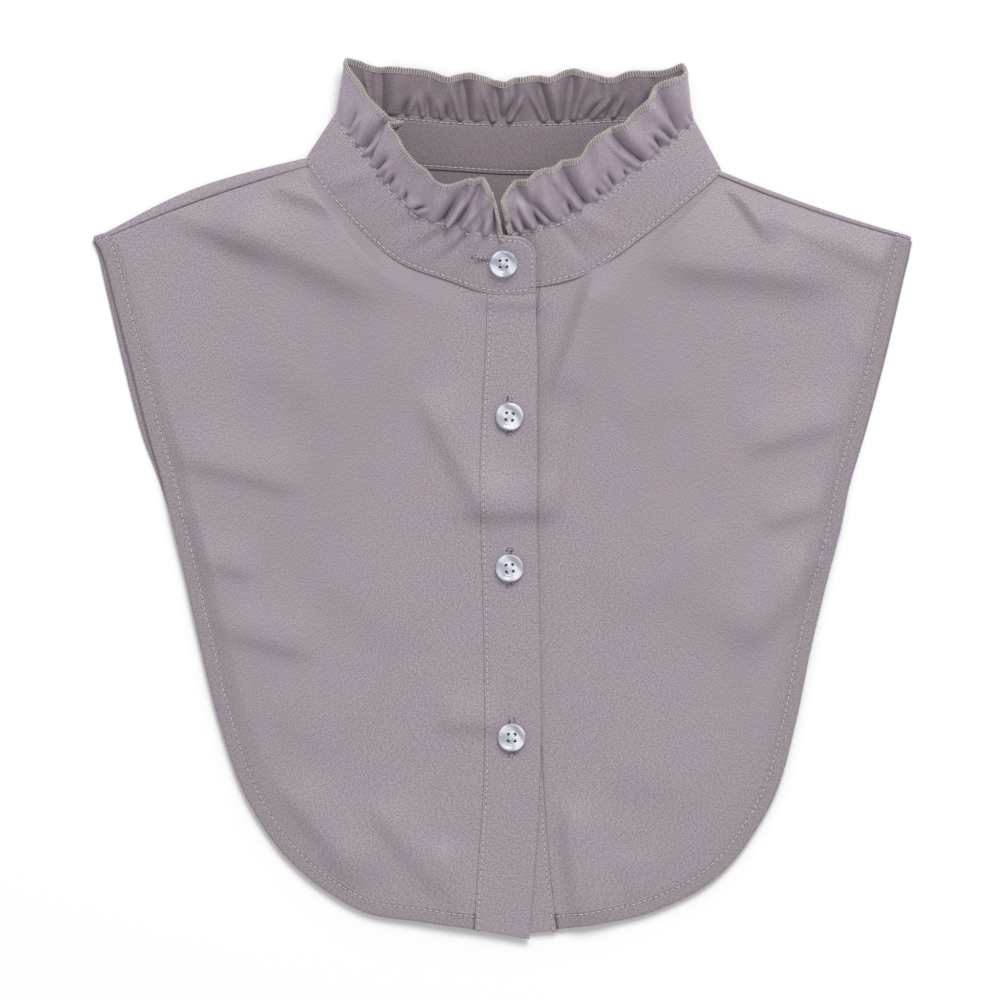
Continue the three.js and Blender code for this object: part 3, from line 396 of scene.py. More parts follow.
BODY_SATIN = satin("bib_satin", (0.412, 0.360, 0.403), (0.230, 0.196, 0.224))
# The satin's wrong side: duller, and darker partly for its own tone and partly as painted shade inside the
# collar and under the stand.
BODY_SATIN_INSIDE_SHADED = satin("bib_satin_inside_shaded", (0.285, 0.240, 0.268), (0.168, 0.137, 0.157), 0.65)
BINDING_SATIN = satin("binding_satin", (0.366, 0.320, 0.358), (0.202, 0.172, 0.197))
# A lighter copy of the body satin for the stand: painted light that offsets the shade of its lean away from
# the lamp.
STAND_SATIN_LIT = satin("stand_satin_lit", (0.436, 0.380, 0.427), (0.246, 0.209, 0.240))
# A lighter copy of the satin for the frill: painted sheen.
FRILL_SATIN_SHEEN = satin("frill_satin", (0.448, 0.380, 0.448), (0.276, 0.230, 0.280), 0.42)
# The frill's wrong side: duller, and darker partly for its own tone and partly as painted shade where it lies
# inside the collar at the back.
FRILL_SATIN_INSIDE_SHADED = satin("frill_satin_inside_shaded", (0.292, 0.240, 0.276), (0.178, 0.142, 0.166), 0.6)

seam_points = [
    (NECK_SHIFT + row["across"] * NECK_HALF, -row["down"] * NECK_DROP, row["rise"] * COLLAR_RISE)
    for row in NECK_ROWS]
top_points = [
    np.array(seam) + np.array(row["lean"]) * BAND_HEIGHT for seam, row in zip(seam_points, NECK_ROWS)]
seam_at = line_through(seam_points)[0]
top_at = line_through(top_points)[0]


def band_at(at, up):
    """A place on the stand, by a count along NECK_ROWS and a share of its height."""
    return seam_at(at) + (top_at(at) - seam_at(at)) * np.asarray(up)[..., None]


def neck_edge(at, depth=0.0005):
    """Edge of the cloth that is sewn to the stand, tucked a little way under it."""
    lean = unit(top_at(at) - seam_at(at))
    run = unit(seam_at(np.asarray(at) + RUN_STEP) - seam_at(np.asarray(at) - RUN_STEP))
    face = np.cross(lean, run)
    face = face * np.where(face[..., 2:] < 0, -1, 1)
    return seam_at(at) + lean * UNDER_EDGE - face * depth


def side_of(name, sign, shoulder, fold_row, neck_rows, back_row):
    """What differs between the two sides. neck_corner is where front, back and stand meet."""
    edge = line_through([
        (row[name] * HALF_WIDTH, -row["down"] * BODY_LENGTH, FRONT_LEVEL) for row in EDGE_ROWS])[1]
    fold = seam_at(fold_row)
    tip = edge(0.0)
    neck_corner = np.array([
        fold[0] - sign * NECK_CORNER_IN, fold[1] - shoulder["lower"], FRONT_LEVEL + SHOULDER_NECK_RISE])
    along_seam = unit((neck_corner - tip) * (1, 1, 0))
    beyond = np.array([sign * along_seam[1], -sign * along_seam[0], 0])
    return dict(
        sign=sign, edge=edge, neck_corner=neck_corner, along_seam=along_seam, beyond=beyond,
        neck_rows=neck_rows, back_row=back_row, back_key="back_" + name, **shoulder)


# wrap: how far the back laps over the shoulder fold at the tip, near half way and at the neck;
# bow: how far the shoulder seam bows up;
# lower: how far that seam ends below the stand's side fold;
# fold_row, neck_rows, back_row: counts along NECK_ROWS of that fold, of the front's two ends there and of the
# back's end.
LEFT = side_of(
    "left", -1, dict(wrap=(0.0004, 0.0037, 0.0016), bow=0.0014, lower=0.0024), fold_row=8,
    neck_rows=(7.2, UPPER_SEAM_ROW), back_row=9.6)
RIGHT = side_of(
    "right", 1, dict(wrap=(0.0003, 0.0004, 0.0003), bow=-0.0012, lower=0.0019), fold_row=18,
    neck_rows=(18.8, UNDER_SEAM_ROW), back_row=17.4)
EDGE_STEPS = 220


def wrap_at(side, u):
    """How far the back laps over a shoulder, by share of the way from the tip to the neck."""
    wraps = rows_of("u wrap", *zip((0, 0.45, 1), side["wrap"]))
    return column(wraps, "u", "wrap", np.asarray(u, float))


def shoulder_line(side, tip, corner, wrapped=False):
    """A shoulder seam from the outer tip to the neck, bowed, or the fold of the back beyond it."""
    def line(u):
        u = np.asarray(u, float)
        beyond = side["bow"] * 4 * u * (1 - u)
        if wrapped:
            beyond = beyond + wrap_at(side, u)
        return tip + (corner - tip) * u[..., None] + side["beyond"] * beyond[..., None]

    return line


def inside_edge(side, inset):
    """Places at a distance inside a side's outer edge, from the shoulder tip to the hem."""
    share = np.linspace(0, 1, EDGE_STEPS + 1)
    places = side["edge"](share)
    run = unit(np.gradient(places, axis=0))
    inward = np.stack([side["sign"] * run[:, 1], -side["sign"] * run[:, 0], 0 * run[:, 0]], axis=1)
    inset = np.broadcast_to(inset, share.shape)
    moved = places + inward * inset[:, None]
    first = places[0] + side["along_seam"] * inset[0]
    return moved + (first - moved[0]) * (1 - smoothstep(share / TIP_EASE))[:, None]


def shoulder_roll(side, fold_line, levels, wrap):
    """Rows of places that roll over a shoulder, from the back's fold to the front seam."""
    turn = (SHOULDER_TURN * np.arange(1, SHOULDER_STEPS + 1) / SHOULDER_STEPS)[:, None]
    radius = ((levels - fold_line[:, 2]) / 2)[None]
    rolled = fold_line[None] + side["beyond"] * (radius * np.sin(turn))[..., None]
    rolled[..., 2] = fold_line[None, :, 2] + radius * (1 - np.cos(turn))
    lapped = np.linspace(0.35, 1, 4)[:, None]
    ends = fold_line[None] - side["beyond"] * (lapped * wrap[None])[..., None]
    ends[..., 2] = rolled[-1:, :, 2] + (levels[None] - rolled[-1:, :, 2]) * lapped
    return np.concatenate([rolled, ends])


def back_edge(width, level):
    """The back's outline at a distance inside its edge, from the left shoulder round the hem to the right."""
    halves = []
    for side in (LEFT, RIGHT):
        share_down = -side["edge"](np.linspace(0, 1, EDGE_STEPS + 1))[:, 1] / BODY_LENGTH
        inset = width - BINDING_WIDTH * column(EDGE_ROWS, "down", side["back_key"], share_down)
        points = inside_edge(side, inset)
        lap = side["wrap"][0] * (1 - smoothstep(np.linspace(0, WRAP_FADE, EDGE_STEPS + 1)))
        points += side["beyond"] * lap[:, None]
        points[:, 2] = level
        halves.append(points)
    return line_through(np.vstack([halves[0][::4], halves[1][::-1][::4]]), 8)[1]


back_outline = back_edge(BINDING_WIDTH - UNDER_EDGE, BACK_LEVEL)
back_centre_row = (LEFT["back_row"] + RIGHT["back_row"]) / 2


def flat_neck_edge(at):
    """The back's neck edge, which lies flat under the stand."""
    places = neck_edge(at)
    places[..., 2] = BACK_LEVEL
    return places


def back_half(side, edge_share, along, across):
    """Half of the back, from a shoulder fold to the middle."""
    corner = np.array([*side["neck_corner"][:2], BACK_LEVEL])
    lapped = corner + side["beyond"] * side["wrap"][2]
    under = flat_neck_edge(np.linspace(side["back_row"], back_centre_row, 12))
    neck = line_through(np.vstack([lapped[None], under]))[1]
    tip = back_outline(edge_share(0.0)) - side["beyond"] * side["wrap"][0]
    hem = back_outline(0.5)
    neck_middle = flat_neck_edge(np.array(back_centre_row))
    middle = lambda u: hem + (neck_middle - hem) * np.asarray(u)[..., None]
    return patch(
        lambda v: back_outline(edge_share(v)), neck, shoulder_line(side, tip, corner, wrapped=True), middle,
        along, across)


back_along = np.linspace(0, 1, 90)
back_across = close_at_ends(48, 0.2, PANEL_WALL)
left_back = back_half(LEFT, lambda v: v / 2, back_along, back_across)
right_back = back_half(RIGHT, lambda v: 1 - v / 2, back_along, back_across)
left_levels = np.interp(back_across, [0, 1], [FRONT_LEVEL, LEFT["neck_corner"][2]])
right_levels = np.interp(back_across, [0, 1], [FRONT_LEVEL, RIGHT["neck_corner"][2]])
back_grid = np.concatenate([
    shoulder_roll(LEFT, left_back[0], left_levels, wrap_at(LEFT, back_across))[::-1],
    left_back,
    right_back[:-1][::-1],
    shoulder_roll(RIGHT, right_back[0], right_levels, wrap_at(RIGHT, back_across))])
# Its inside face is the darker inside satin, which carries painted shade where it lies under the stand.
back = cloth("back_cloth", back_grid, PANEL_WALL, BODY_SATIN, inner=BODY_SATIN_INSIDE_SHADED)
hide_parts("back_panel")
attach(back, "root")

# The back's binding: its edge, folded in twice and stitched down, so that it stands a little thicker than the
# cloth inside it.
BINDING_STITCH = 0.0052  # from the outer edge to the row of stitches
binding_across = close_at_ends(14, BINDING_WIDTH, BINDING_WALL)


def strip_between(outer, inner, across):
    """Grid of places across a strip between two long edges."""
    return outer[:, None] + (inner - outer)[:, None] * across[None, :, None]


back_share = close_at_ends(420, 1.0, BINDING_WALL)
back_strip = strip_between(
    back_edge(0, BACK_BINDING_LEVEL)(back_share), back_edge(BINDING_WIDTH, BACK_BINDING_LEVEL)(back_share),
    binding_across)
back_binding = cloth(
    "back_hem", back_strip, BINDING_WALL, BINDING_SATIN, [("first_column", BINDING_STITCH)])
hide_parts("back_binding")
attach(back_binding, "root")


def line_inside(grid, edge, distance):
    """A line at a distance inside an edge of a grid: its places, and the ways out of that edge and off the
    cloth."""
    normals = cloth_normals(grid)
    if edge.endswith("row"):
        grid, normals = grid.swapaxes(0, 1), normals.swapaxes(0, 1)
    if edge.startswith("last"):
        grid, normals = grid[:, ::-1], normals[:, ::-1]
    far = lengths_along(grid, 1)
    after = np.clip((far < distance).sum(axis=1), 1, grid.shape[1] - 1)
    row = np.arange(len(grid))
    share = (distance - far[row, after - 1]) / np.maximum(far[row, after] - far[row, after - 1], 1e-9)

    def between(values):
        return values[row, after - 1] + (values[row, after] - values[row, after - 1]) * share[:, None]

    return between(grid), unit(grid[:, 0] - between(grid)), unit(between(normals))


def stitches(line, pitch, half, faces=(1, -1), across=False, start=0.5):
    """One stitch every pitch along a line, on one or both faces of cloth of half this thickness: its place,
    the way it runs and the way off the cloth. None is made where the cloth lies on the table."""
    places, out, off = line
    far = far_along(places)
    count = max(1, round(far[-1] / pitch))
    at = (np.arange(count) + start) * far[-1] / count
    pick = lambda values: place_at(at, far, values)
    place, way_out, way_off = pick(places), unit(pick(out)), unit(pick(off))
    run = unit(pick(np.gradient(places, axis=0)))
    rows = []
    for face in faces:
        along = np.cross(way_out, way_off * face) if across else run
        seen = (place[:, 2] > LAYER_GAP + BINDING_WALL) | (way_off[:, 2] * face > 0)
        rows.append((place[seen] + way_off[seen] * (half * face), along[seen], way_off[seen] * face))
    return tuple(np.vstack(part) for part in zip(*rows))


def upper_face(grid):
    """Which face of a lying sheet looks up: 1 for the one on the normals' side."""
    return (1,) if cloth_normals(grid)[..., 2].mean() > 0 else (-1,)


def make_thread_tree():
    """A tree that lays one curved length of thread at each point of a mesh, along the point's "run" and with
    its back to the point's "off"."""
    tree = bpy.data.node_groups.new("sewn_thread", "GeometryNodeTree")
    for name, kind in (
            ("Points", "Geometry"), ("Start", "Vector"), ("Start Handle", "Vector"), ("End Handle", "Vector"),
            ("End", "Vector"), ("Radius", "Float"), ("Steps", "Int"), ("Finish", "Material")):
        tree.interface.new_socket(name, in_out="INPUT", socket_type="NodeSocket" + kind)
    tree.interface.new_socket("Thread", in_out="OUTPUT", socket_type="NodeSocketGeometry")
    given = tree.nodes.new("NodeGroupInput").outputs
    places = {name: given[name] for name in ("Start", "Start Handle", "End Handle", "End")}
    line = add_node(
        tree, "GeometryNodeCurvePrimitiveBezierSegment", {**places, "Resolution": given["Steps"]})
    ring = add_node(tree, "GeometryNodeCurvePrimitiveCircle", {"Resolution": 5, "Radius": given["Radius"]})
    tube = add_node(tree, "GeometryNodeCurveToMesh", {
        "Curve": line.outputs["Curve"], "Profile Curve": ring.outputs["Curve"], "Fill Caps": True})
    axes = {}
    for name, socket in (("run", "Primary Axis"), ("off", "Secondary Axis")):
        way = add_node(tree, "GeometryNodeInputNamedAttribute", {"Name": name}, data_type="FLOAT_VECTOR")
        axes[socket] = way.outputs["Attribute"]
    turn = add_node(tree, "FunctionNodeAxesToRotation", axes, primary_axis="X", secondary_axis="Z")
    laid = add_node(tree, "GeometryNodeInstanceOnPoints", {
        "Points": given["Points"], "Instance": tube.outputs["Mesh"], "Rotation": turn.outputs["Rotation"]})
    real = add_node(tree, "GeometryNodeRealizeInstances", {"Geometry": laid.outputs["Instances"]})
    smooth = add_node(tree, "GeometryNodeSetShadeSmooth", {"Geometry": real.outputs["Geometry"]})
    finish = add_node(tree, "GeometryNodeSetMaterial", {
        "Geometry": smooth.outputs["Geometry"], "Material": given["Finish"]})
    add_node(tree, "NodeGroupOutput", {"Thread": finish.outputs["Geometry"]})
    return tree


THREAD_TREE = make_thread_tree()


def dash(length, radius, rise=0.00012, steps=5):
    """A straight stitch: a short arch of thread whose ends dip into the cloth."""
    return {
        "Start": (-length / 2, 0, -radius), "Start Handle": (-length / 4, 0, rise),
        "End Handle": (length / 4, 0, rise), "End": (length / 2, 0, -radius), "Radius": radius,
        "Steps": steps}


def sew(name, shape, finish, rows):
    """A piece of thread, with one length of it at each stitch of the rows."""
    places, run, off = (np.vstack(part) for part in zip(*rows))
    mesh = bpy.data.meshes.new(name + "_points")
    mesh.from_pydata((places + NECK_POINT).tolist(), [], [])
    for key, ways in (("run", run), ("off", off)):
        attribute = mesh.attributes.new(key, "FLOAT_VECTOR", "POINT")
        attribute.data.foreach_set("vector", ways.astype(float).ravel())
    piece = bpy.data.objects.new(name, mesh)
    bpy.context.collection.objects.link(piece)
    modifier = piece.modifiers.new("thread", "NODES")
    modifier.node_group = THREAD_TREE
    values = {**shape, "Finish": finish}
    for item in THREAD_TREE.interface.items_tree:
        if item.name in values:
            modifier[item.identifier] = values[item.name]
    bpy.context.view_layer.update()
    made = piece.evaluated_get(bpy.context.evaluated_depsgraph_get())
    plain = bpy.data.meshes.new_from_object(made)
    plain.name = name
    piece.modifiers.clear()
    piece.data = plain
    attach(piece, "root")
    return piece


def spun_thread(name, light, dark, size=0.0006):
    """Sewing thread: fine twisted fibres that catch the light in places; made near black, painted shade of
    holes.
    """
    material, tree = bare_finish(name, {"Roughness": 0.5, "Sheen Weight": 0.3})
    place = add_node(tree, "ShaderNodeTexCoord", {}).outputs["Object"]
    values = {"Scale": 1 / size, "Detail": 3, "Vector": place}
    fibres = add_node(tree, "ShaderNodeTexNoise", values).outputs["Fac"]
    join_to_shader(tree, ramp(tree, fibres, dark, light, 0.35, 0.62), fibres, 0.6, 0.00005)
    return material


STITCH_PITCH = 0.00246
STITCH_THREAD = spun_thread("stitch_thread", (0.62, 0.56, 0.61), (0.43, 0.385, 0.425))
# Near-black finish for painted shade: the dashes in needle holes, the plugs in button holes and the
# buttonhole slits.
NEEDLE_HOLE_SHADE = spun_thread("needle_hole_shade", (0.10, 0.08, 0.095), (0.06, 0.048, 0.056))
TOPSTITCH = dash(0.0019, 0.00023)
HOLE = dash(0.0005, 0.00019, 0.00008, 2)
stitch_rows = [
    stitches(line_inside(back_strip, "first_column", BINDING_STITCH), STITCH_PITCH, BINDING_WALL / 2)]


def holes_between(rows):
    """Places half way between the stitches of some rows, where the needle went in."""
    return [(places + run * (STITCH_PITCH / 2), run, off) for places, run, off in rows]


# The two fronts: satin halves sewn to the back at the shoulders, to the stand at the neck and to the front
# bands. They lie over the back with a little air under them and a few soft folds.
PLACKET_WIDTH = 0.022
PLACKET_SHIFT = 0.004
PLACKET_WALL = 0.0008
UNDER_BAND_LEVEL = BINDING_WALL + 1.75 * LAYER_GAP + PLACKET_WALL / 2
UPPER_BAND_LEVEL = UNDER_BAND_LEVEL + PLACKET_WALL + 0.25 * LAYER_GAP
HEM_RISE_RUN = 0.045
FRONT_PUFF = 0.0026
NECK_TUCK = 0.0011  # how far the fronts lie below the stand's middle where they are sewn to it
FRONT_LOWEST = 1.5 * PANEL_WALL + LAYER_GAP / 2
FOOT_EASE = 0.04  # share of the outer edge, at the hem, over which it turns to the front band's seam
BAND_EASE = 0.12  # share of the way down over which a band takes its width
BAND_SAG = 1.6  # how soon the bands come down from the stand
TOP_SAG = 4  # the same for the curve of their top ends
UNDER_BAND_SHARE = 0.9  # width of the lower band, as a share of PLACKET_WIDTH
FOLD_HEIGHT = 0.0030
FOLD_SPREAD = 0.011
FOLD_GENTLE = 3.0  # how much wider a fold is on its gentle side
FOLD_FADE = 0.3  # share of a fold's length over which each end fades
FOLD_FREE = 22  # how soon the cloth is free to fold, inside its sewn edges

# Edges of the two front bands. down: share of BODY_LENGTH; the others: shares of PLACKET_WIDTH.
PLACKET_ROWS = rows_of(
    "down upper_left upper_right under_right",
    (0.15, -0.45, 0.49, 0.36),
    (0.24, -0.47, 0.50, 0.36),
    (0.31, -0.52, 0.49, 0.36),
    (0.39, -0.57, 0.49, 0.36),
    (0.47, -0.56, 0.49, 0.36),
    (0.56, -0.52, 0.52, 0.38),
    (0.68, -0.49, 0.56, 0.45),
    (0.76, -0.49, 0.56, 0.57),
    (0.82, -0.52, 0.53, 0.63),
    (0.89, -0.59, 0.47, 0.70),
    (0.95, -0.65, 0.40, 0.79),
    (1.00, -0.67, 0.34, 0.87))

# Soft folds, each along a line from (from_x, from_down) to (to_x, to_down), shares of HALF_WIDTH and
# BODY_LENGTH; height: share of FOLD_HEIGHT; spread: share of FOLD_SPREAD, on the right of the way along it,
# where the fold falls off steeply. Its other side is gentle.
FOLD_ROWS = rows_of(
    "from_x from_down to_x to_down height spread",
    (-0.740, 0.060, -0.235, 0.185, 1.9, 0.75),
    (-0.865, 0.050, -0.530, 0.130, 1.0, 0.45),
    (-0.595, 0.025, -0.275, 0.085, 1.1, 0.40),
    (-0.515, -0.005, -0.330, 0.075, 0.9, 0.35),
    (-0.830, 0.375, -0.450, 0.425, 0.8, 0.40),
    (-0.785, 0.505, -0.575, 0.535, 0.6, 0.30),
    (-0.720, 0.595, -0.425, 0.635, 0.8, 0.40),
    (0.330, 0.125, 0.865, 0.155, 1.9, 0.75),
    (0.650, 0.055, 1.045, 0.160, 1.3, 0.55),
    (0.515, -0.005, 0.675, 0.115, 1.3, 0.30),
    (0.645, 0.030, 0.765, 0.080, 1.0, 0.30),
    (0.565, 0.375, 0.860, 0.330, 0.8, 0.40),
    (0.560, 0.635, 0.790, 0.510, 0.9, 0.50),
    (0.610, 0.470, 0.820, 0.440, 0.6, 0.30),
    (0.395, 0.515, 0.655, 0.630, 0.5, 1.10),
    (-0.490, 0.350, -0.195, 0.220, 0.3, 1.20),
    (0.240, 0.590, 0.555, 0.465, 0.4, 0.75),
    (-0.660, 0.245, -0.415, 0.310, 0.3, 0.75),
    (-0.465, 0.515, -0.175, 0.630, 0.4, 0.80),
    (0.240, 0.770, 0.535, 0.825, 0.4, 0.80),
    (0.265, 0.335, 0.485, 0.285, 0.3, 0.75),
    (-0.585, 0.680, -0.365, 0.770, 0.4, 0.75))

# Folds and puckers that run on into the bands and the bindings.
PUCKER_ROWS = rows_of(
    "from_x from_down to_x to_down height spread",
    (-0.150, 0.450, 0.185, 0.450, 0.85, 0.40),
    (-0.215, 0.280, 0.005, 0.490, 0.95, 0.40),
    (0.115, 0.475, 0.160, 0.300, 0.80, 0.35),
    (0.255, 0.120, 0.115, 0.340, 1.40, 0.40),
    (0.155, 0.805, 0.205, 1.010, 1.05, 0.35),
    (-0.175, 0.720, 0.015, 0.725, 0.60, 0.35),
    (-0.085, 0.185, 0.145, 0.185, 0.40, 0.25),
    (-0.550, 0.790, -0.310, 0.940, 0.75, 0.40),
    (-0.335, 0.815, -0.115, 0.955, 0.70, 0.35),
    (-0.160, 0.870, -0.105, 0.980, 0.45, 0.25),
    (-0.435, 0.880, -0.355, 0.940, 0.25, 0.25),
    (0.290, 0.885, 0.325, 0.955, 0.30, 0.30),
    (0.720, 0.530, 0.790, 0.510, 0.30, 0.25),
    (0.740, 0.500, 0.805, 0.490, 0.25, 0.25),
    (-0.780, 0.465, -0.725, 0.455, 0.25, 0.25),
    (0.845, 0.250, 0.910, 0.240, 0.25, 0.30),
    (-0.740, 0.540, -0.680, 0.530, 0.25, 0.25))


def fold_height(places, rows):
    """Height that the folds of a table add at each place."""
    height = np.zeros(places.shape[:-1])
    for row in rows:
        start = np.array([row["from_x"] * HALF_WIDTH, -row["from_down"] * BODY_LENGTH])
        run = np.array([row["to_x"] * HALF_WIDTH, -row["to_down"] * BODY_LENGTH]) - start
        share = ((places[..., :2] - start) @ run) / (run @ run)
        beside = (places[..., :2] - start) @ np.array([run[1], -run[0]]) / math.hypot(*run)
        spread = row["spread"] * FOLD_SPREAD * np.where(beside > 0, 1, FOLD_GENTLE)
        ends = smoothstep(share / FOLD_FADE) * smoothstep((1 - share) / FOLD_FADE)
        height += row["height"] * FOLD_HEIGHT * ends * np.exp(-((beside / spread) ** 2))
    return height


def band_edge(at, key, hem_down, hem_level):
    """A long edge of a front band, or of the front sewn to it, by share of the way down."""
    start = neck_edge(np.array(float(at)), NECK_TUCK)

    def edge(share):
        share = np.asarray(share, float)
        y = start[1] + (-hem_down * BODY_LENGTH - start[1]) * share
        beside = PLACKET_SHIFT + PLACKET_WIDTH * column(PLACKET_ROWS, "down", key, -y / BODY_LENGTH)
        x = start[0] + (beside - start[0]) * smoothstep(share / BAND_EASE)
        return np.stack([x, y, hem_level + (start[2] - hem_level) * (1 - share) ** BAND_SAG], axis=-1)

    return edge


def front_half(side, seam):
    """Grids of a front half and of the strip that binds its edge."""
    top, hem = seam(0.0), seam(1.0)
    share_down = lambda y: np.minimum(1, (top[1] - y) / (top[1] - hem[1]))
    share = np.linspace(0, 1, EDGE_STEPS + 1)

    def edge_inside(width):
        points = inside_edge(side, width)
        rise = smoothstep(side["sign"] * (points[:, 0] - hem[0]) / HEM_RISE_RUN)
        points[:, 2] = hem[2] + (FRONT_LEVEL - hem[2]) * rise
        foot = seam(share_down(side["edge"](1.0)[1] + width))
        return points + (foot - points[-1]) * smoothstep((share - (1 - FOOT_EASE)) / FOOT_EASE)[:, None]

    outer, inner = edge_inside(0), edge_inside(BINDING_WIDTH)
    panel_edge = line_through(edge_inside(BINDING_WIDTH - UNDER_EDGE)[::4], 8)[1]
    neck_points = neck_edge(np.linspace(*side["neck_rows"], 14), NECK_TUCK)
    neck_points[-1] = top
    neck = line_through(np.vstack([side["neck_corner"][None], neck_points]))[1]
    tip = panel_edge(0.0)
    foot = share_down(panel_edge(1.0)[1])
    along = close_at_ends(150, 0.4, PANEL_WALL)
    across = close_at_ends(120, 0.2, PANEL_WALL)
    grid = patch(
        panel_edge, neck, shoulder_line(side, tip, side["neck_corner"]),
        lambda u: seam((1 - np.asarray(u)) * foot), along, across)
    v, u = along[:, None], across[None]
    free = np.minimum(1, FOLD_FREE * u * (1 - u)) * np.minimum(1, FOLD_FREE * v * (1 - v))
    grid[..., 2] += free * (FRONT_PUFF * np.sin(math.pi * v) + fold_height(grid, FOLD_ROWS))
    strip = strip_between(outer, inner, binding_across)
    for part in (grid, strip):
        part[..., 2] += fold_height(part, PUCKER_ROWS)
    grid[..., 2] = np.maximum(grid[..., 2], FRONT_LOWEST)
    fold_line = strip[0] + side["beyond"] * side["wrap"][0]
    fold_line[:, 2] = BACK_BINDING_LEVEL
    over = shoulder_roll(side, fold_line, strip[0, :, 2], side["wrap"][0] + 0 * binding_across)
    return grid, np.concatenate([over[:-1], strip])


upper_left = band_edge(UPPER_SEAM_ROW, "upper_left", 0.988, UPPER_BAND_LEVEL)
upper_right = band_edge(TAB_END_ROW, "upper_right", 1.0, UPPER_BAND_LEVEL)
under_right = band_edge(UNDER_SEAM_ROW, "under_right", 0.99, UNDER_BAND_LEVEL)
under_left_top = neck_edge(np.array(float(UNDER_END_ROW)))[1]


def under_left(share):
    """The lower band's free edge, hidden under the upper band."""
    right = under_right(share)
    y = under_left_top + (-0.993 * BODY_LENGTH - under_left_top) * np.asarray(share)
    return np.stack([right[..., 0] - UNDER_BAND_SHARE * PLACKET_WIDTH, y, right[..., 2]], axis=-1)


right_panel_grid, right_binding_grid = front_half(LEFT, upper_left)
left_panel_grid, left_binding_grid = front_half(RIGHT, under_right)
for name, node, grid, flat, area in (
        ("front_cloth_right", "front_panel_right", right_panel_grid, (0.150, 0.295), 0.0325),
        ("front_cloth_left", "front_panel_left", left_panel_grid, (0.148, 0.295), 0.0314)):
    piece = cloth(name, grid, PANEL_WALL, BODY_SATIN)
    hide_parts(node)
    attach(piece, "root")

# The fronts' bindings: the same folded edge as the back's, round each armhole and hem.
for name, node, grid, length in (
        ("front_hem_right", "front_binding_right", right_binding_grid, 0.38),
        ("front_hem_left", "front_binding_left", left_binding_grid, 0.36)):
    piece = cloth(name, grid, BINDING_WALL, BINDING_SATIN, [("first_column", BINDING_STITCH)])
    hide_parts(node)
    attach(piece, "root")
    line = line_inside(grid, "first_column", BINDING_STITCH)
    stitch_rows.append(stitches(line, STITCH_PITCH, BINDING_WALL / 2, upper_face(grid)))
sew("binding_stitches", TOPSTITCH, STITCH_THREAD, stitch_rows)
# Dark dashes between the stitches: painted shade of the needle holes.
sew("binding_needle_holes", HOLE, NEEDLE_HOLE_SHADE, holes_between(stitch_rows))

# The two front bands: strips of satin folded double. The lower one carries the buttons and the upper one has
# the buttonholes. Each has a row of stitches along its sewn edge.
PLACKET_STITCH = 0.0014


def band_grid(left_edge, right_edge, from_row, to_row, share, across):
    """Grid of a front band between its two long edges, hanging from the stand between two of NECK_ROWS."""
    left, right = left_edge(share), right_edge(share)
    grid = left[:, None] + (right - left)[:, None] * across[None, :, None]
    top = neck_edge(from_row + (to_row - from_row) * across, NECK_TUCK)
    off = top - grid[0]
    grid[..., 1] += off[None, :, 1] * (1 - share)[:, None]
    grid[..., 2] += off[None, :, 2] * ((1 - share) ** TOP_SAG)[:, None]
    return grid


placket_share = close_at_ends(190, 0.26, PLACKET_WALL)
placket_across = close_at_ends(36, PLACKET_WIDTH, PLACKET_WALL)
under_grid = band_grid(
    under_left, under_right, UNDER_END_ROW, UNDER_SEAM_ROW, placket_share, placket_across)
upper_grid = band_grid(upper_left, upper_right, UPPER_SEAM_ROW, TAB_END_ROW, placket_share, placket_across)
for grid in (under_grid, upper_grid):
    grid[..., 2] += fold_height(grid, PUCKER_ROWS)
band_rows = []
for name, node, grid, sewn_edge in (
        ("button_band", "button_placket", under_grid, "last_column"),
        ("buttonhole_band", "buttonhole_placket", upper_grid, "first_column")):
    piece = cloth(name, grid, PLACKET_WALL, BODY_SATIN, [(sewn_edge, PLACKET_STITCH)])
    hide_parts(node)
    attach(piece, "root")
    line = line_inside(grid, sewn_edge, PLACKET_STITCH)
    band_rows.append(stitches(line, STITCH_PITCH, PLACKET_WALL / 2, upper_face(grid)))
sew("band_stitches", TOPSTITCH, STITCH_THREAD, band_rows)
# Dark dashes between the stitches: painted shade of the needle holes.
sew("band_needle_holes", HOLE, NEEDLE_HOLE_SHADE, holes_between(band_rows))

# The stand: a stiffened double band round the neck. Its rounded tab laps over the other end at the front.
TAB_CORNER = 0.010
STAND_STITCH = 0.0019
STAND_STEP = 0.02  # count along NECK_ROWS from a place on the stand to those that give its direction
PULL_REACH = 0.38  # how far up and down a pull runs, as a share of the stand's height
stand_at = np.concatenate([
    np.linspace(0, 1, 40, endpoint=False) ** 2, np.linspace(1, LAST_ROW - 0.02, 330),
    LAST_ROW - np.array([0.012, 0.006, 0.002, 0])])
stand_up = close_at_ends(40, BAND_HEIGHT, BAND_WALL)
tab_inside = np.minimum(np.linalg.norm(top_at(stand_at) - top_at(0.0), axis=1), TAB_CORNER)
tab_cut = TAB_CORNER - np.sqrt(TAB_CORNER**2 - (TAB_CORNER - tab_inside) ** 2)
stand_full = np.where(stand_at < 2, 1 - tab_cut / BAND_HEIGHT, 1)

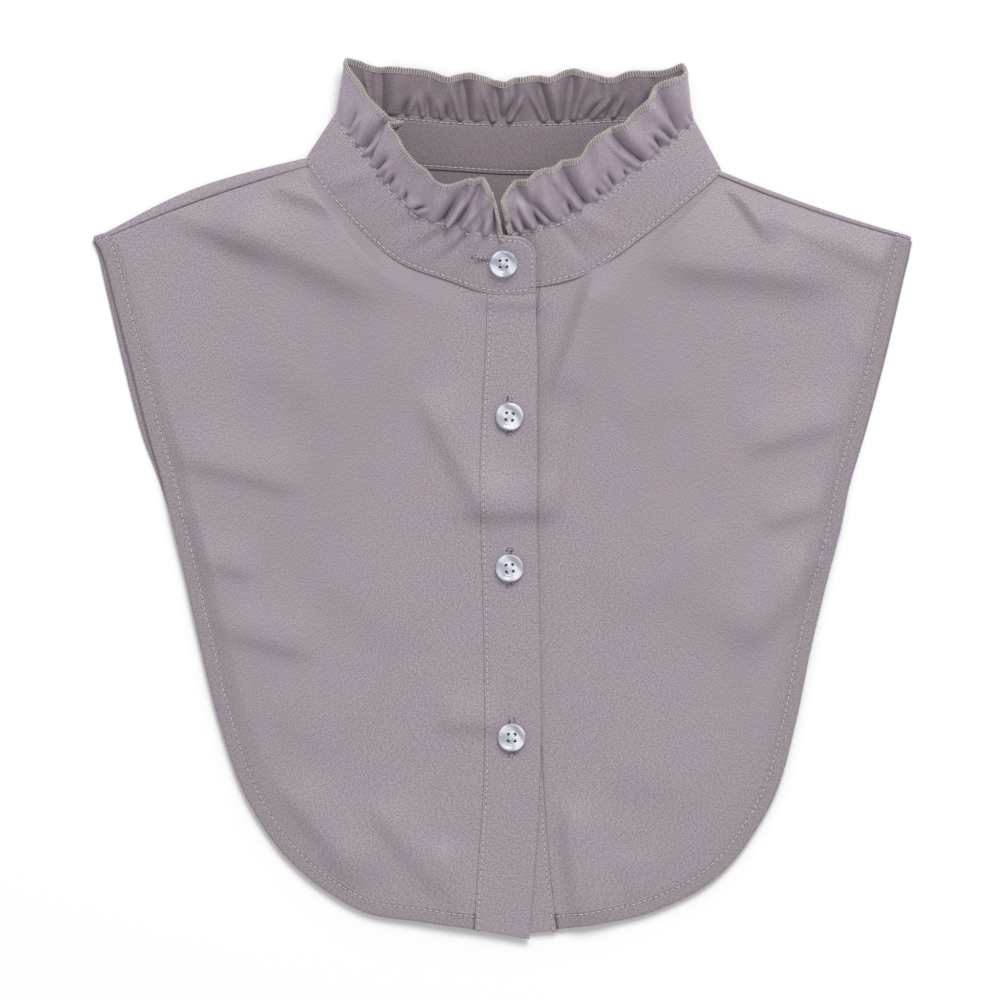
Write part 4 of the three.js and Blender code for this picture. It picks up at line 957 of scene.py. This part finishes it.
# Small pulls in the stand under the frill. at: count along NECK_ROWS; up: share of its height;
# lean: counts that it leans along the stand for the whole height; height: in metres.
PULL_ROWS = rows_of(
    "at up lean height width",
    (2.45, 0.85, 0.5, 0.0014, 0.10),
    (2.75, 0.90, 0.7, -0.0014, 0.09),
    (3.00, 0.85, 0.8, 0.0017, 0.10),
    (3.30, 0.90, 0.8, -0.0014, 0.09),
    (3.62, 0.88, 0.6, 0.0014, 0.10),
    (4.10, 0.80, 0.4, -0.0012, 0.12),
    (21.60, 0.70, -0.5, 0.0014, 0.16),
    (22.20, 0.60, -0.6, -0.0014, 0.18),
    (5.60, 0.60, 0.4, 0.0014, 0.20))


def stand_pull(at, up):
    """How far the stand's cloth is pulled up at each place."""
    height = 0
    for row in PULL_ROWS:
        beside = (at - row["at"] - row["lean"] * (row["up"] - up)) / row["width"]
        height = height + row["height"] * np.exp(-(beside**2) - ((up - row["up"]) / PULL_REACH) ** 2)
    return height


standing = band_at(stand_at[:, None] + 0 * stand_up[None], stand_full[:, None] * stand_up[None])
stand_grid = standing - cloth_normals(standing) * stand_pull(stand_at[:, None], stand_up[None])[..., None]
stand_dents = [(edge, STAND_STITCH) for edge in ("first_column", "last_column", "first_row")]
# Outside: the lighter stand satin, painted light. Inside: the inside satin, which carries painted shade.
stand = cloth("stand", stand_grid, BAND_WALL, STAND_SATIN_LIT, stand_dents, BODY_SATIN_INSIDE_SHADED)
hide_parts("collar_band")
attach(stand, "root")

# One row of stitches runs round the stand, up the tab's end and round its corner.
stand_middle = band_at(stand_at, 0.5 + 0 * stand_at)
stand_far = far_along(stand_middle)
stand_end = stand_far[-1] - STAND_STITCH
tab_turn = np.linspace(0, math.pi / 2, 10)
tab_radius = TAB_CORNER - STAND_STITCH
stand_path = np.array(
    [(far, STAND_STITCH) for far in np.linspace(stand_end, STAND_STITCH, 320)]
    + [(STAND_STITCH, height) for height in np.linspace(STAND_STITCH, BAND_HEIGHT - TAB_CORNER, 14)[1:-1]]
    + [(TAB_CORNER - tab_radius * math.cos(turn), BAND_HEIGHT - TAB_CORNER + tab_radius * math.sin(turn))
       for turn in tab_turn]
    + [(far, BAND_HEIGHT - STAND_STITCH) for far in np.linspace(TAB_CORNER, stand_end, 320)[1:]])
path_at = np.interp(stand_path[:, 0], stand_far, stand_at)
path_up = unit(top_at(path_at) - seam_at(path_at))
path_middle = 0.5 + 0 * path_at
path_run = unit(band_at(path_at + STAND_STEP, path_middle) - band_at(path_at - STAND_STEP, path_middle))
stand_line = (band_at(path_at, stand_path[:, 1] / BAND_HEIGHT), path_up, unit(np.cross(path_run, path_up)))
sew("stand_stitches", TOPSTITCH, STITCH_THREAD, [stitches(stand_line, STITCH_PITCH, BAND_WALL / 2)])
# Dark dashes between the stitches: painted shade of the needle holes.
sew("stand_needle_holes", HOLE, NEEDLE_HOLE_SHADE, [stitches(stand_line, STITCH_PITCH, BAND_WALL / 2, start=0)])

# The frill: a gathered strip sewn into the stand's top edge, with an overlocked free edge.
FRILL_HEIGHT = 0.0195
FRILL_WALL = 0.0007
FRILL_WAVE = 0.0032
FRILL_FACING = 0.3  # height of the frill's unit normal from which on creases have their full depth
SWAY_BEND = 1.3  # sway and lift grow with these powers of the share of the frill's height
LIFT_BEND = 0.8

# Folds of the frill: at counts along NECK_ROWS, reach is a share of the frill's height,
# sway a share of FRILL_HEIGHT along the neck and lift a share of FRILL_WAVE off the cloth.
FRILL_ROWS = rows_of(
    "at reach sway lift",
    (1.15, 0.74, 0.12, -0.3),
    (1.40, 0.86, 0.10, -0.4),
    (1.65, 0.95, 0.06, -0.2),
    (1.86, 1.00, 0.02, 0.8),
    (2.02, 1.05, 0.00, 0.9),
    (2.19, 1.11, 0.00, 0.5),
    (2.50, 1.10, 0.00, -0.8),
    (2.78, 1.09, 0.00, 0.3),
    (3.02, 1.01, 0.00, -0.7),
    (3.24, 0.96, 0.00, -0.3),
    (3.60, 0.96, 0.00, 0.9),
    (3.98, 0.97, 0.00, 0.5),
    (4.30, 0.97, 0.00, -0.4),
    (4.57, 0.97, 0.00, 0.2),
    (5.00, 0.99, 0.00, 0.6),
    (5.38, 1.00, 0.08, 0.4),
    (5.60, 0.98, 0.26, 0.8),
    (5.78, 1.05, 0.08, 0.0),
    (5.95, 1.10, -0.07, -0.9),
    (6.14, 0.97, 0.00, -0.2),
    (6.28, 1.02, 0.00, 0.4),
    (6.86, 1.00, 0.00, 0.6),
    (7.20, 1.03, 0.00, 0.2),
    (7.48, 1.06, 0.00, 0.5),
    (8.00, 1.05, 0.00, 0.0),
    (8.70, 1.05, 0.00, -0.2),
    (9.43, 1.05, 0.00, -0.3),
    (10.13, 1.00, 0.00, 0.9),
    (10.35, 1.04, 0.00, 0.2),
    (10.60, 1.04, 0.00, -0.5),
    (10.89, 1.02, 0.00, -0.3),
    (11.18, 0.98, 0.00, 0.5),
    (11.57, 0.92, 0.00, -0.5),
    (11.94, 1.00, 0.00, 0.9),
    (12.22, 1.05, 0.00, -0.6),
    (12.65, 0.93, 0.00, 0.8),
    (12.85, 0.92, 0.00, -0.1),
    (13.03, 0.98, 0.00, 0.5),
    (13.19, 1.02, 0.00, -0.5),
    (13.55, 0.98, 0.00, 0.9),
    (13.75, 0.95, 0.00, -0.3),
    (14.18, 1.08, 0.00, 0.8),
    (14.40, 1.07, 0.00, -0.4),
    (14.63, 1.00, 0.00, 0.5),
    (14.80, 0.97, 0.00, -0.2),
    (14.95, 0.96, 0.00, 0.5),
    (15.30, 1.09, 0.00, -0.5),
    (15.70, 1.03, 0.00, 0.3),
    (15.99, 1.00, 0.00, -0.2),
    (16.90, 1.00, 0.00, -0.2),
    (17.82, 1.00, 0.00, 0.0),
    (18.21, 0.92, 0.00, 0.2),
    (18.80, 1.02, 0.00, 0.7),
    (19.10, 1.11, 0.00, 0.2),
    (19.32, 1.13, 0.00, -0.9),
    (19.62, 1.13, 0.00, 0.7),
    (19.93, 1.05, 0.00, 0.2),
    (20.24, 1.00, 0.00, 0.5),
    (20.53, 0.98, 0.00, -0.8),
    (20.69, 1.02, 0.00, 0.0),
    (21.06, 1.10, 0.00, 0.9),
    (21.33, 1.02, 0.00, 0.1),
    (21.56, 0.97, 0.00, 0.4),
    (22.03, 1.05, 0.00, -0.9),
    (22.35, 1.08, 0.00, 0.5),
    (22.80, 1.09, 0.00, 0.3),
    (23.14, 1.05, 0.00, -0.3),
    (23.37, 1.02, 0.00, 0.4),
    (23.70, 1.00, 0.00, -0.9),
    (23.88, 0.97, 0.03, -0.5),
    (24.00, 0.86, 0.10, 0.2),
    (24.06, 0.76, 0.14, 0.4))

# Sharp creases that the gathering makes, from the seam at foot to a point at tip.
# foot, tip: counts along NECK_ROWS; reach: share of the frill's height; depth: share of CREASE_DEPTH.
CREASE_ROWS = rows_of(
    "foot tip reach depth",
    (1.70, 1.60, 0.80, 0.9),
    (2.30, 2.20, 0.35, 0.5),
    (3.13, 2.44, 1.00, 1.0),
    (3.43, 3.26, 0.72, 0.9),
    (3.47, 2.98, 0.87, 0.8),
    (4.15, 3.95, 0.27, 0.7),
    (4.41, 4.45, 0.25, 0.6),
    (4.86, 4.87, 0.32, 0.6),
    (5.35, 5.30, 0.45, 0.7),
    (5.70, 5.90, 0.90, 1.0),
    (6.08, 6.18, 0.80, 1.0),
    (7.05, 7.00, 0.50, 0.6),
    (9.60, 9.55, 0.40, 0.6),
    (10.33, 10.13, 0.92, 1.0),
    (10.75, 10.80, 0.35, 0.6),
    (11.27, 11.18, 0.45, 0.7),
    (11.65, 11.60, 0.35, 0.6),
    (12.08, 11.94, 0.80, 1.0),
    (12.76, 12.65, 0.77, 1.0),
    (12.82, 13.03, 0.52, 0.8),
    (13.74, 13.55, 0.82, 1.0),
    (14.00, 14.18, 0.87, 1.0),
    (14.35, 14.63, 0.40, 0.7),
    (14.72, 14.93, 0.50, 0.8),
    (15.40, 15.65, 0.50, 0.7),
    (16.30, 16.35, 0.35, 0.6),
    (18.58, 18.64, 0.20, 0.6),
    (19.11, 19.33, 0.92, 1.0),
    (19.35, 19.60, 0.40, 0.6),
    (19.69, 19.75, 0.35, 0.7),
    (20.16, 20.53, 0.82, 1.0),
    (20.59, 20.63, 0.17, 0.6),
    (20.90, 21.00, 0.30, 0.6),
    (21.23, 21.33, 0.20, 0.6),
    (21.57, 22.06, 0.85, 1.0),
    (21.94, 22.00, 0.25, 0.6),
    (22.52, 23.14, 0.45, 0.8),
    (22.93, 23.70, 0.95, 1.2),
    (23.39, 23.95, 0.87, 0.8),
    (23.75, 24.05, 0.50, 0.7))
CREASE_DEPTH = 0.0040
CREASE_WIDTH = 0.0012
CREASE_FOOT = 0.07  # share of the frill's height in which the creases rise from the seam
CREASE_LEAN_ON = 1.3  # how far a crease keeps its lean, as a share of its reach
CREASE_FADE_FROM = 0.55  # where a crease starts to fade, as a share of its reach
CREASE_FADE_RUN = 0.8  # and over how much of its reach it fades
CREASE_POINT = 1.3  # form of the valley: 1 is a sharp fold and 2 a round one
CREASE_AT_SEAM = 0.75  # width of a crease at the seam, as a share of its width
CREASE_GROWTH = 0.9  # how much wider it is at the free edge
CREASE_SHORT = 0.75  # width of the shortest creases, as a share of CREASE_WIDTH
GATHER_PITCH = 0.0088
GATHER_DEPTH = 0.00028
GATHER_SEED = 7
frill_points = [top + np.array(row["frill"]) * FRILL_HEIGHT for top, row in zip(top_points, NECK_ROWS)]
frill_at = line_through(frill_points)[0]
FRILL_TUCK = 0.0010  # how deep the frill is sewn into the stand
FRILL_LOWEST = 0.0008

# The ridges that a crease pushes up, on its steep side and on its gentle one.
# height: share of its depth; place, width: in widths of the crease.
RIDGE_ROWS = rows_of(
    "height place width",
    (0.7, 1.7, 0.9),
    (0.35, -2.4, 1.6))


def crease_depth(far, share, foot, tip, reach, depth, width, lay):
    """Depth of one crease at each place of the frill: a narrow valley between two ridges. lay says which side
    is the steep one."""
    centre = foot + (tip - foot) * np.minimum(share / reach, CREASE_LEAN_ON)
    beside = (far[:, None] - centre[None]) / (width * (CREASE_AT_SEAM + CREASE_GROWTH * share))[None]
    fade = 1 - smoothstep((share - CREASE_FADE_FROM * reach) / (CREASE_FADE_RUN * reach))
    form = np.exp(-np.abs(beside) ** CREASE_POINT)
    for row in RIDGE_ROWS:
        form = form - row["height"] * np.exp(-(((beside * lay - row["place"]) / row["width"]) ** 2))
    return depth * fade[None] * form


def frill_grid(at, share):
    """Grid of the frill, from its gathered edge in the stand to its free edge."""
    top = top_at(at)
    up = frill_at(at) - top
    run = unit(top_at(at + RUN_STEP) - top_at(at - RUN_STEP))
    off = unit(np.cross(up, run))
    facing = np.clip(off[:, 2] / FRILL_FACING, -1, 1)
    base = top - unit(top - seam_at(at)) * FRILL_TUCK
    reach, sway, lift = (column(FRILL_ROWS, "at", name, at) for name in ("reach", "sway", "lift"))
    far = far_along(top)
    depth = np.zeros((len(at), len(share)))
    for row in CREASE_ROWS:
        foot, tip = np.interp((row["foot"], row["tip"]), at, far)
        depth += crease_depth(
            far, share, foot, tip, row["reach"], row["depth"] * CREASE_DEPTH,
            CREASE_WIDTH * (CREASE_SHORT + row["reach"]), 1 if row["tip"] > row["foot"] else -1)
    chance = np.random.default_rng(GATHER_SEED)
    for foot in np.arange(GATHER_PITCH, far[-1], GATHER_PITCH):
        foot = foot + chance.uniform(-0.4, 0.4) * GATHER_PITCH
        depth += crease_depth(
            far, share, foot, foot + chance.uniform(-0.5, 0.5) * GATHER_PITCH, chance.uniform(0.12, 0.42),
            chance.uniform(0.4, 1.4) * GATHER_DEPTH, chance.uniform(0.5, 0.9) * CREASE_WIDTH,
            chance.choice((-1, 1)))
    depth *= smoothstep(share / CREASE_FOOT)[None]
    grid = base[:, None] + (up * reach[:, None])[:, None] * share[None, :, None]
    grid = grid + (run * (FRILL_HEIGHT * sway)[:, None])[:, None] * (share**SWAY_BEND)[None, :, None]
    grid = grid + (off * (FRILL_WAVE * lift)[:, None])[:, None] * (share**LIFT_BEND)[None, :, None]
    grid = grid - off[:, None] * (facing[:, None] * depth)[..., None]
    grid[..., 2] = np.maximum(grid[..., 2], FRILL_LOWEST)
    return grid


frill_span = FRILL_ROWS[-1]["at"] - FRILL_ROWS[0]["at"]
frill_places = FRILL_ROWS[0]["at"] + frill_span * close_at_ends(1350, 0.45, FRILL_WALL)
frill_mesh_grid = frill_grid(frill_places, close_at_ends(24, FRILL_HEIGHT, FRILL_WALL))
# Outer face: the lighter frill satin, painted sheen. Inner face: the darker inside satin, with painted shade.
frill = cloth("frill", frill_mesh_grid, FRILL_WALL, FRILL_SATIN_SHEEN, inner=FRILL_SATIN_INSIDE_SHADED)
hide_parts("collar_ruffle")
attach(frill, "root")

# The frill's edge is overlocked: a beige looper thread passes from the needle's line over the edge and back
# under, close together, all along the free edge and down both ends of the strip.
OVERLOCK_WIDTH = 0.0023
OVERLOCK_PITCH = 0.00112
OVERLOCK_RADIUS = 0.00023
OVERLOCK_THREAD = spun_thread("overlock_thread", (0.565, 0.53, 0.472), (0.335, 0.31, 0.27))
OVERLOCK_CLEAR = 0.0003  # how far a loop stands off from the free edge
HANDLE_SHARE = 0.75  # a curve bows out to this share of the way to its handles
over_height = FRILL_WALL / 2 + OVERLOCK_RADIUS
over_reach = (OVERLOCK_WIDTH + OVERLOCK_CLEAR) / HANDLE_SHARE
OVERLOCK_LOOP = {
    "Start": (-0.0002, 0, over_height), "Start Handle": (-0.0001, over_reach, 1.35 * over_height),
    "End Handle": (0.0001, over_reach, -1.35 * over_height), "End": (0.0002, 0, -over_height),
    "Radius": OVERLOCK_RADIUS, "Steps": 8}
frill_edges = [
    line_inside(frill_mesh_grid, edge, OVERLOCK_WIDTH) for edge in ("last_column", "first_row", "last_row")]
sew("overlock_loops", OVERLOCK_LOOP, OVERLOCK_THREAD, [
    stitches(line, OVERLOCK_PITCH, 0, faces=(1,), across=True) for line in frill_edges])
sew("overlock_needle_thread", dash(0.0009, 0.00018, 0.00015), OVERLOCK_THREAD, [
    stitches(line, OVERLOCK_PITCH, FRILL_WALL / 2) for line in frill_edges])
# Dark dashes along the needle's line: painted shade of the needle holes.
sew("overlock_needle_holes", HOLE, NEEDLE_HOLE_SHADE, [
    stitches(line, 2 * OVERLOCK_PITCH, FRILL_WALL / 2, start=0) for line in frill_edges])

# The buttons: four pearly shirt buttons with a raised rim, a dished middle and four holes. The top one stands
# on the stand's tab and the others on the upper band, each over the buttonhole that it passes through.
BUTTON_DIAMETER = 0.0114
BUTTON_HEIGHT = 0.0025
BUTTON_HOLE = 0.0014
BUTTON_HOLE_SPACING = 0.0026
BUTTON_GAP = 0.0003
BUTTON_SIDES = 56
BUTTON_DISH = 0.54  # height of the dished middle, as a share of BUTTON_HEIGHT
BUTTON_SPIN = 0.12  # how far a button may be turned, in radians
HOLE_SIDES = 20
HOLE_ENDS = (-1.0, 2.0)  # where the pins that cut the holes end, in heights of a button
TAB_BUTTON = (1.22, 0.555)  # count along NECK_ROWS and share of the stand's height
THREAD_SPACING = 0.00026
THREAD_CROSSING = 0.0002  # how much higher one bundle of thread lies than the other

# Side view of a button: shares of half BUTTON_DIAMETER and of BUTTON_HEIGHT.
BUTTON_SECTION = [
    (0.001, 0.08), (0.55, 0.03), (0.72, 0.0), (0.86, 0.08), (0.95, 0.26), (0.99, 0.46), (1.0, 0.62),
    (0.99, 0.78), (0.96, 0.92), (0.92, 0.985), (0.88, 1.0), (0.83, 0.975), (0.785, 0.90), (0.76, 0.865),
    (0.70, 0.83), (0.64, 0.77), (0.59, 0.66), (0.54, 0.59), (0.45, 0.555), (0.30, 0.54), (0.001, 0.535)]


def button_mesh():
    """A button's mesh, its underside on Z = 0, with its four holes cut through."""
    turn = np.arange(BUTTON_SIDES) * 2 * math.pi / BUTTON_SIDES
    rings = [
        (radius * BUTTON_DIAMETER / 2 * math.cos(a), radius * BUTTON_DIAMETER / 2 * math.sin(a),
         height * BUTTON_HEIGHT)
        for radius, height in BUTTON_SECTION for a in turn]
    number = np.arange(len(rings)).reshape(len(BUTTON_SECTION), BUTTON_SIDES)
    beside = np.roll(number, -1, axis=1)
    sides = np.stack([number[:-1], beside[:-1], beside[1:], number[1:]], axis=-1).reshape(-1, 4).tolist()
    disc = bpy.data.meshes.new("button_disc")
    disc.from_pydata(rings, [], sides + [number[0, ::-1].tolist(), number[-1].tolist()])
    places, faces = [], []
    hole_turn = np.arange(HOLE_SIDES) * 2 * math.pi / HOLE_SIDES
    for x in (-0.5, 0.5):
        for y in (-0.5, 0.5):
            first = len(places)
            for z in HOLE_ENDS:
                places += [
                    (x * BUTTON_HOLE_SPACING + BUTTON_HOLE / 2 * math.cos(a),
                     y * BUTTON_HOLE_SPACING + BUTTON_HOLE / 2 * math.sin(a), z * BUTTON_HEIGHT)
                    for a in hole_turn]
            low, high = np.arange(first, first + 2 * HOLE_SIDES).reshape(2, -1).tolist()
            after = [(k + 1) % HOLE_SIDES for k in range(HOLE_SIDES)]
            faces += [(low[k], low[after[k]], high[after[k]], high[k]) for k in range(HOLE_SIDES)]
            faces += [low[::-1], high]
    pins = bpy.data.meshes.new("button_pins")
    pins.from_pydata(places, [], faces)
    body = bpy.data.objects.new("button_body", disc)
    cutter = bpy.data.objects.new("button_cutter", pins)
    for part in (body, cutter):
        bpy.context.collection.objects.link(part)
    cut = body.modifiers.new("holes", "BOOLEAN")
    cut.operation = "DIFFERENCE"
    cut.solver = "EXACT"
    cut.object = cutter
    bpy.context.view_layer.update()
    mesh = bpy.data.meshes.new_from_object(body.evaluated_get(bpy.context.evaluated_depsgraph_get()))
    bpy.data.objects.remove(body)
    bpy.data.objects.remove(cutter)
    return mesh


def pearl(name):
    """Pearly plastic: cool white with broad soft streaks, partly its own pearl pattern and partly painted
    reflections, and a clear gloss.
    """
    material, tree = bare_finish(name, {
        "Roughness": 0.22, "Coat Weight": 0.4, "Coat Roughness": 0.08, "Subsurface Weight": 0.05,
        "Subsurface Scale": 0.001})
    place = add_node(tree, "ShaderNodeTexCoord", {}).outputs["Object"]
    values = {"Scale": 62, "Distortion": 3.5, "Detail": 2, "Detail Scale": 1.2, "Vector": place}
    streaks_and_reflections = add_node(tree, "ShaderNodeTexWave", values, bands_direction="DIAGONAL").outputs["Fac"]
    colour = ramp(tree, streaks_and_reflections, (0.40, 0.415, 0.475), (0.74, 0.755, 0.84), 0.1, 0.75)
    join_to_shader(tree, colour, streaks_and_reflections, 0.15, 0.0001)
    return material


PEARL = pearl("button_pearl")
button_shape = button_mesh()
button_places = np.zeros(len(button_shape.vertices) * 3)
button_shape.vertices.foreach_get("co", button_places)
button_places = button_places.reshape(-1, 3)
upper_normals = cloth_normals(upper_grid) * upper_face(upper_grid)[0]


def band_seat(node):
    """Where a button of the upper band stands: a place on the band, the way across it and the way off it."""
    low, high = (np.array(corner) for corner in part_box(node))
    middle = (low + high) / 2 - NECK_POINT
    far = np.linalg.norm(upper_grid[..., :2] - middle[:2], axis=-1)
    row, across = np.unravel_index(far.argmin(), far.shape)
    off = upper_normals[row, across]
    place = np.array([middle[0], middle[1], upper_grid[row, across, 2]]) + off * PLACKET_WALL / 2
    return place, unit(np.cross((0.0, 1.0, 0.0), off)), off


def stand_seat(at, up):
    """The same for a place on the stand."""
    lean = unit(top_at(at) - seam_at(at))
    along = unit(band_at(at - STAND_STEP, up) - band_at(at + STAND_STEP, up))
    off = unit(np.cross(along, lean))
    return band_at(at, up) + off * BAND_WALL / 2, along, off


seats = [stand_seat(*TAB_BUTTON)] + [band_seat(name) for name in ("button_2", "button_3", "button_4")]
BUTTON_THREAD = spun_thread("button_thread", (0.78, 0.77, 0.80), (0.55, 0.54, 0.58))
thread_rows, hole_shade_rows = [], []
for number, (place, along, off) in enumerate(seats, 1):
    upward = np.cross(off, along)
    spin = BUTTON_SPIN * math.sin(2.4 * number)
    right = along * math.cos(spin) + upward * math.sin(spin)
    ahead = np.cross(off, right)
    foot = place + off * BUTTON_GAP
    mesh = button_shape.copy()
    mesh.name = "shirt_button_%d" % number
    placed = foot + button_places @ np.array([right, ahead, off]) + NECK_POINT
    mesh.vertices.foreach_set("co", placed.ravel())
    mesh.materials.clear()
    mesh.materials.append(PEARL)
    mesh.polygons.foreach_set("use_smooth", np.ones(len(mesh.polygons), bool))
    mesh.set_sharp_from_angle(angle=math.radians(35))
    piece = bpy.data.objects.new(mesh.name, mesh)
    bpy.context.collection.objects.link(piece)
    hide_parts("button_%d" % number)
    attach(piece, "root")
    level = foot + off * BUTTON_DISH * BUTTON_HEIGHT
    for beside in (-0.5, 0.5):
        slant = unit(ahead + 2 * beside * right)
        for strand in (-1, 0, 1):
            at = level + np.cross(off, slant) * (strand * THREAD_SPACING) + off * (beside * THREAD_CROSSING)
            thread_rows.append((at[None], slant[None], off[None]))
        for along_it in (-0.5, 0.5):
            at = foot + (right * beside + ahead * along_it) * BUTTON_HOLE_SPACING
            hole_shade_rows.append((at[None], off[None], ahead[None]))
sew("button_threads", dash(1.12 * BUTTON_HOLE_SPACING, 0.00016, 0.0004, 8), BUTTON_THREAD, thread_rows)
# Near-black plugs down each of the button's holes: painted shade of the holes.
sew("button_hole_depths", {
    "Start": (0, 0, 0), "Start Handle": (0.0002, 0, 0), "End Handle": (0.0003, 0, 0), "End": (0.0005, 0, 0),
    "Radius": BUTTON_HOLE / 2 - 0.00004, "Steps": 1}, NEEDLE_HOLE_SHADE, hole_shade_rows)

# The buttonholes: two close rows of whipped thread, with painted shade of the slit between them, a dark strip
# laid on the cloth. The one on the tab lies along the stand and the others along the band.
TAB_BUTTONHOLE = (1.95, 0.545)  # count along NECK_ROWS and share of the stand's height
BUTTONHOLE_LENGTH = 0.0168
WHIP_ASIDE = 0.00085  # from the middle of the slit to each row of thread
WHIP_PITCH = 0.0006
WHIP_THREAD = spun_thread("buttonhole_thread", (0.52, 0.47, 0.50), (0.05, 0.042, 0.048), 0.0009)
whip_rows, slit_shade_rows = [], []
for number, (place, along, off) in enumerate([stand_seat(*TAB_BUTTONHOLE)] + seats[1:]):
    slit_run = along if number == 0 else np.cross(off, along)
    beside = np.cross(off, slit_run)
    count = round(BUTTONHOLE_LENGTH / WHIP_PITCH)
    steps = ((np.arange(count) + 0.5) * WHIP_PITCH - BUTTONHOLE_LENGTH / 2)[:, None]
    for side in (-1, 1):
        at = place + steps * slit_run + beside * (side * WHIP_ASIDE)
        whip_rows.append((at, np.tile(beside, (count, 1)), np.tile(off, (count, 1))))
    slit_shade_rows.append((place[None], slit_run[None], off[None]))
sew("buttonhole_threads", dash(0.0016, 0.00026, 0.00024, 3), WHIP_THREAD, whip_rows)
# A dark strip on the cloth along each buttonhole: painted shade of the slit.
sew("buttonhole_slit_shade", dash(0.7 * BUTTONHOLE_LENGTH, 0.0002, 0.0001, 4), NEEDLE_HOLE_SHADE, slit_shade_rows)

# A loose end of sewing thread hangs from the left armhole's binding.
tail_foot = np.array([0.1318, -0.1575, FRONT_LEVEL + BINDING_WALL / 2])
tail_run = unit(np.array([0.0050, 0.0041, 0.0]))
THREAD_END = {
    "Start": (0, 0, -0.0002), "Start Handle": (0.002, 0.0012, 0.0006),
    "End Handle": (0.0045, 0.0006, -0.0008), "End": (0.0068, 0, -0.0022), "Radius": 0.00016, "Steps": 12}
tail_row = (tail_foot[None], tail_run[None], np.array([[0.0, 0.0, 1.0]]))
sew("loose_thread_end", THREAD_END, STITCH_THREAD, [tail_row])
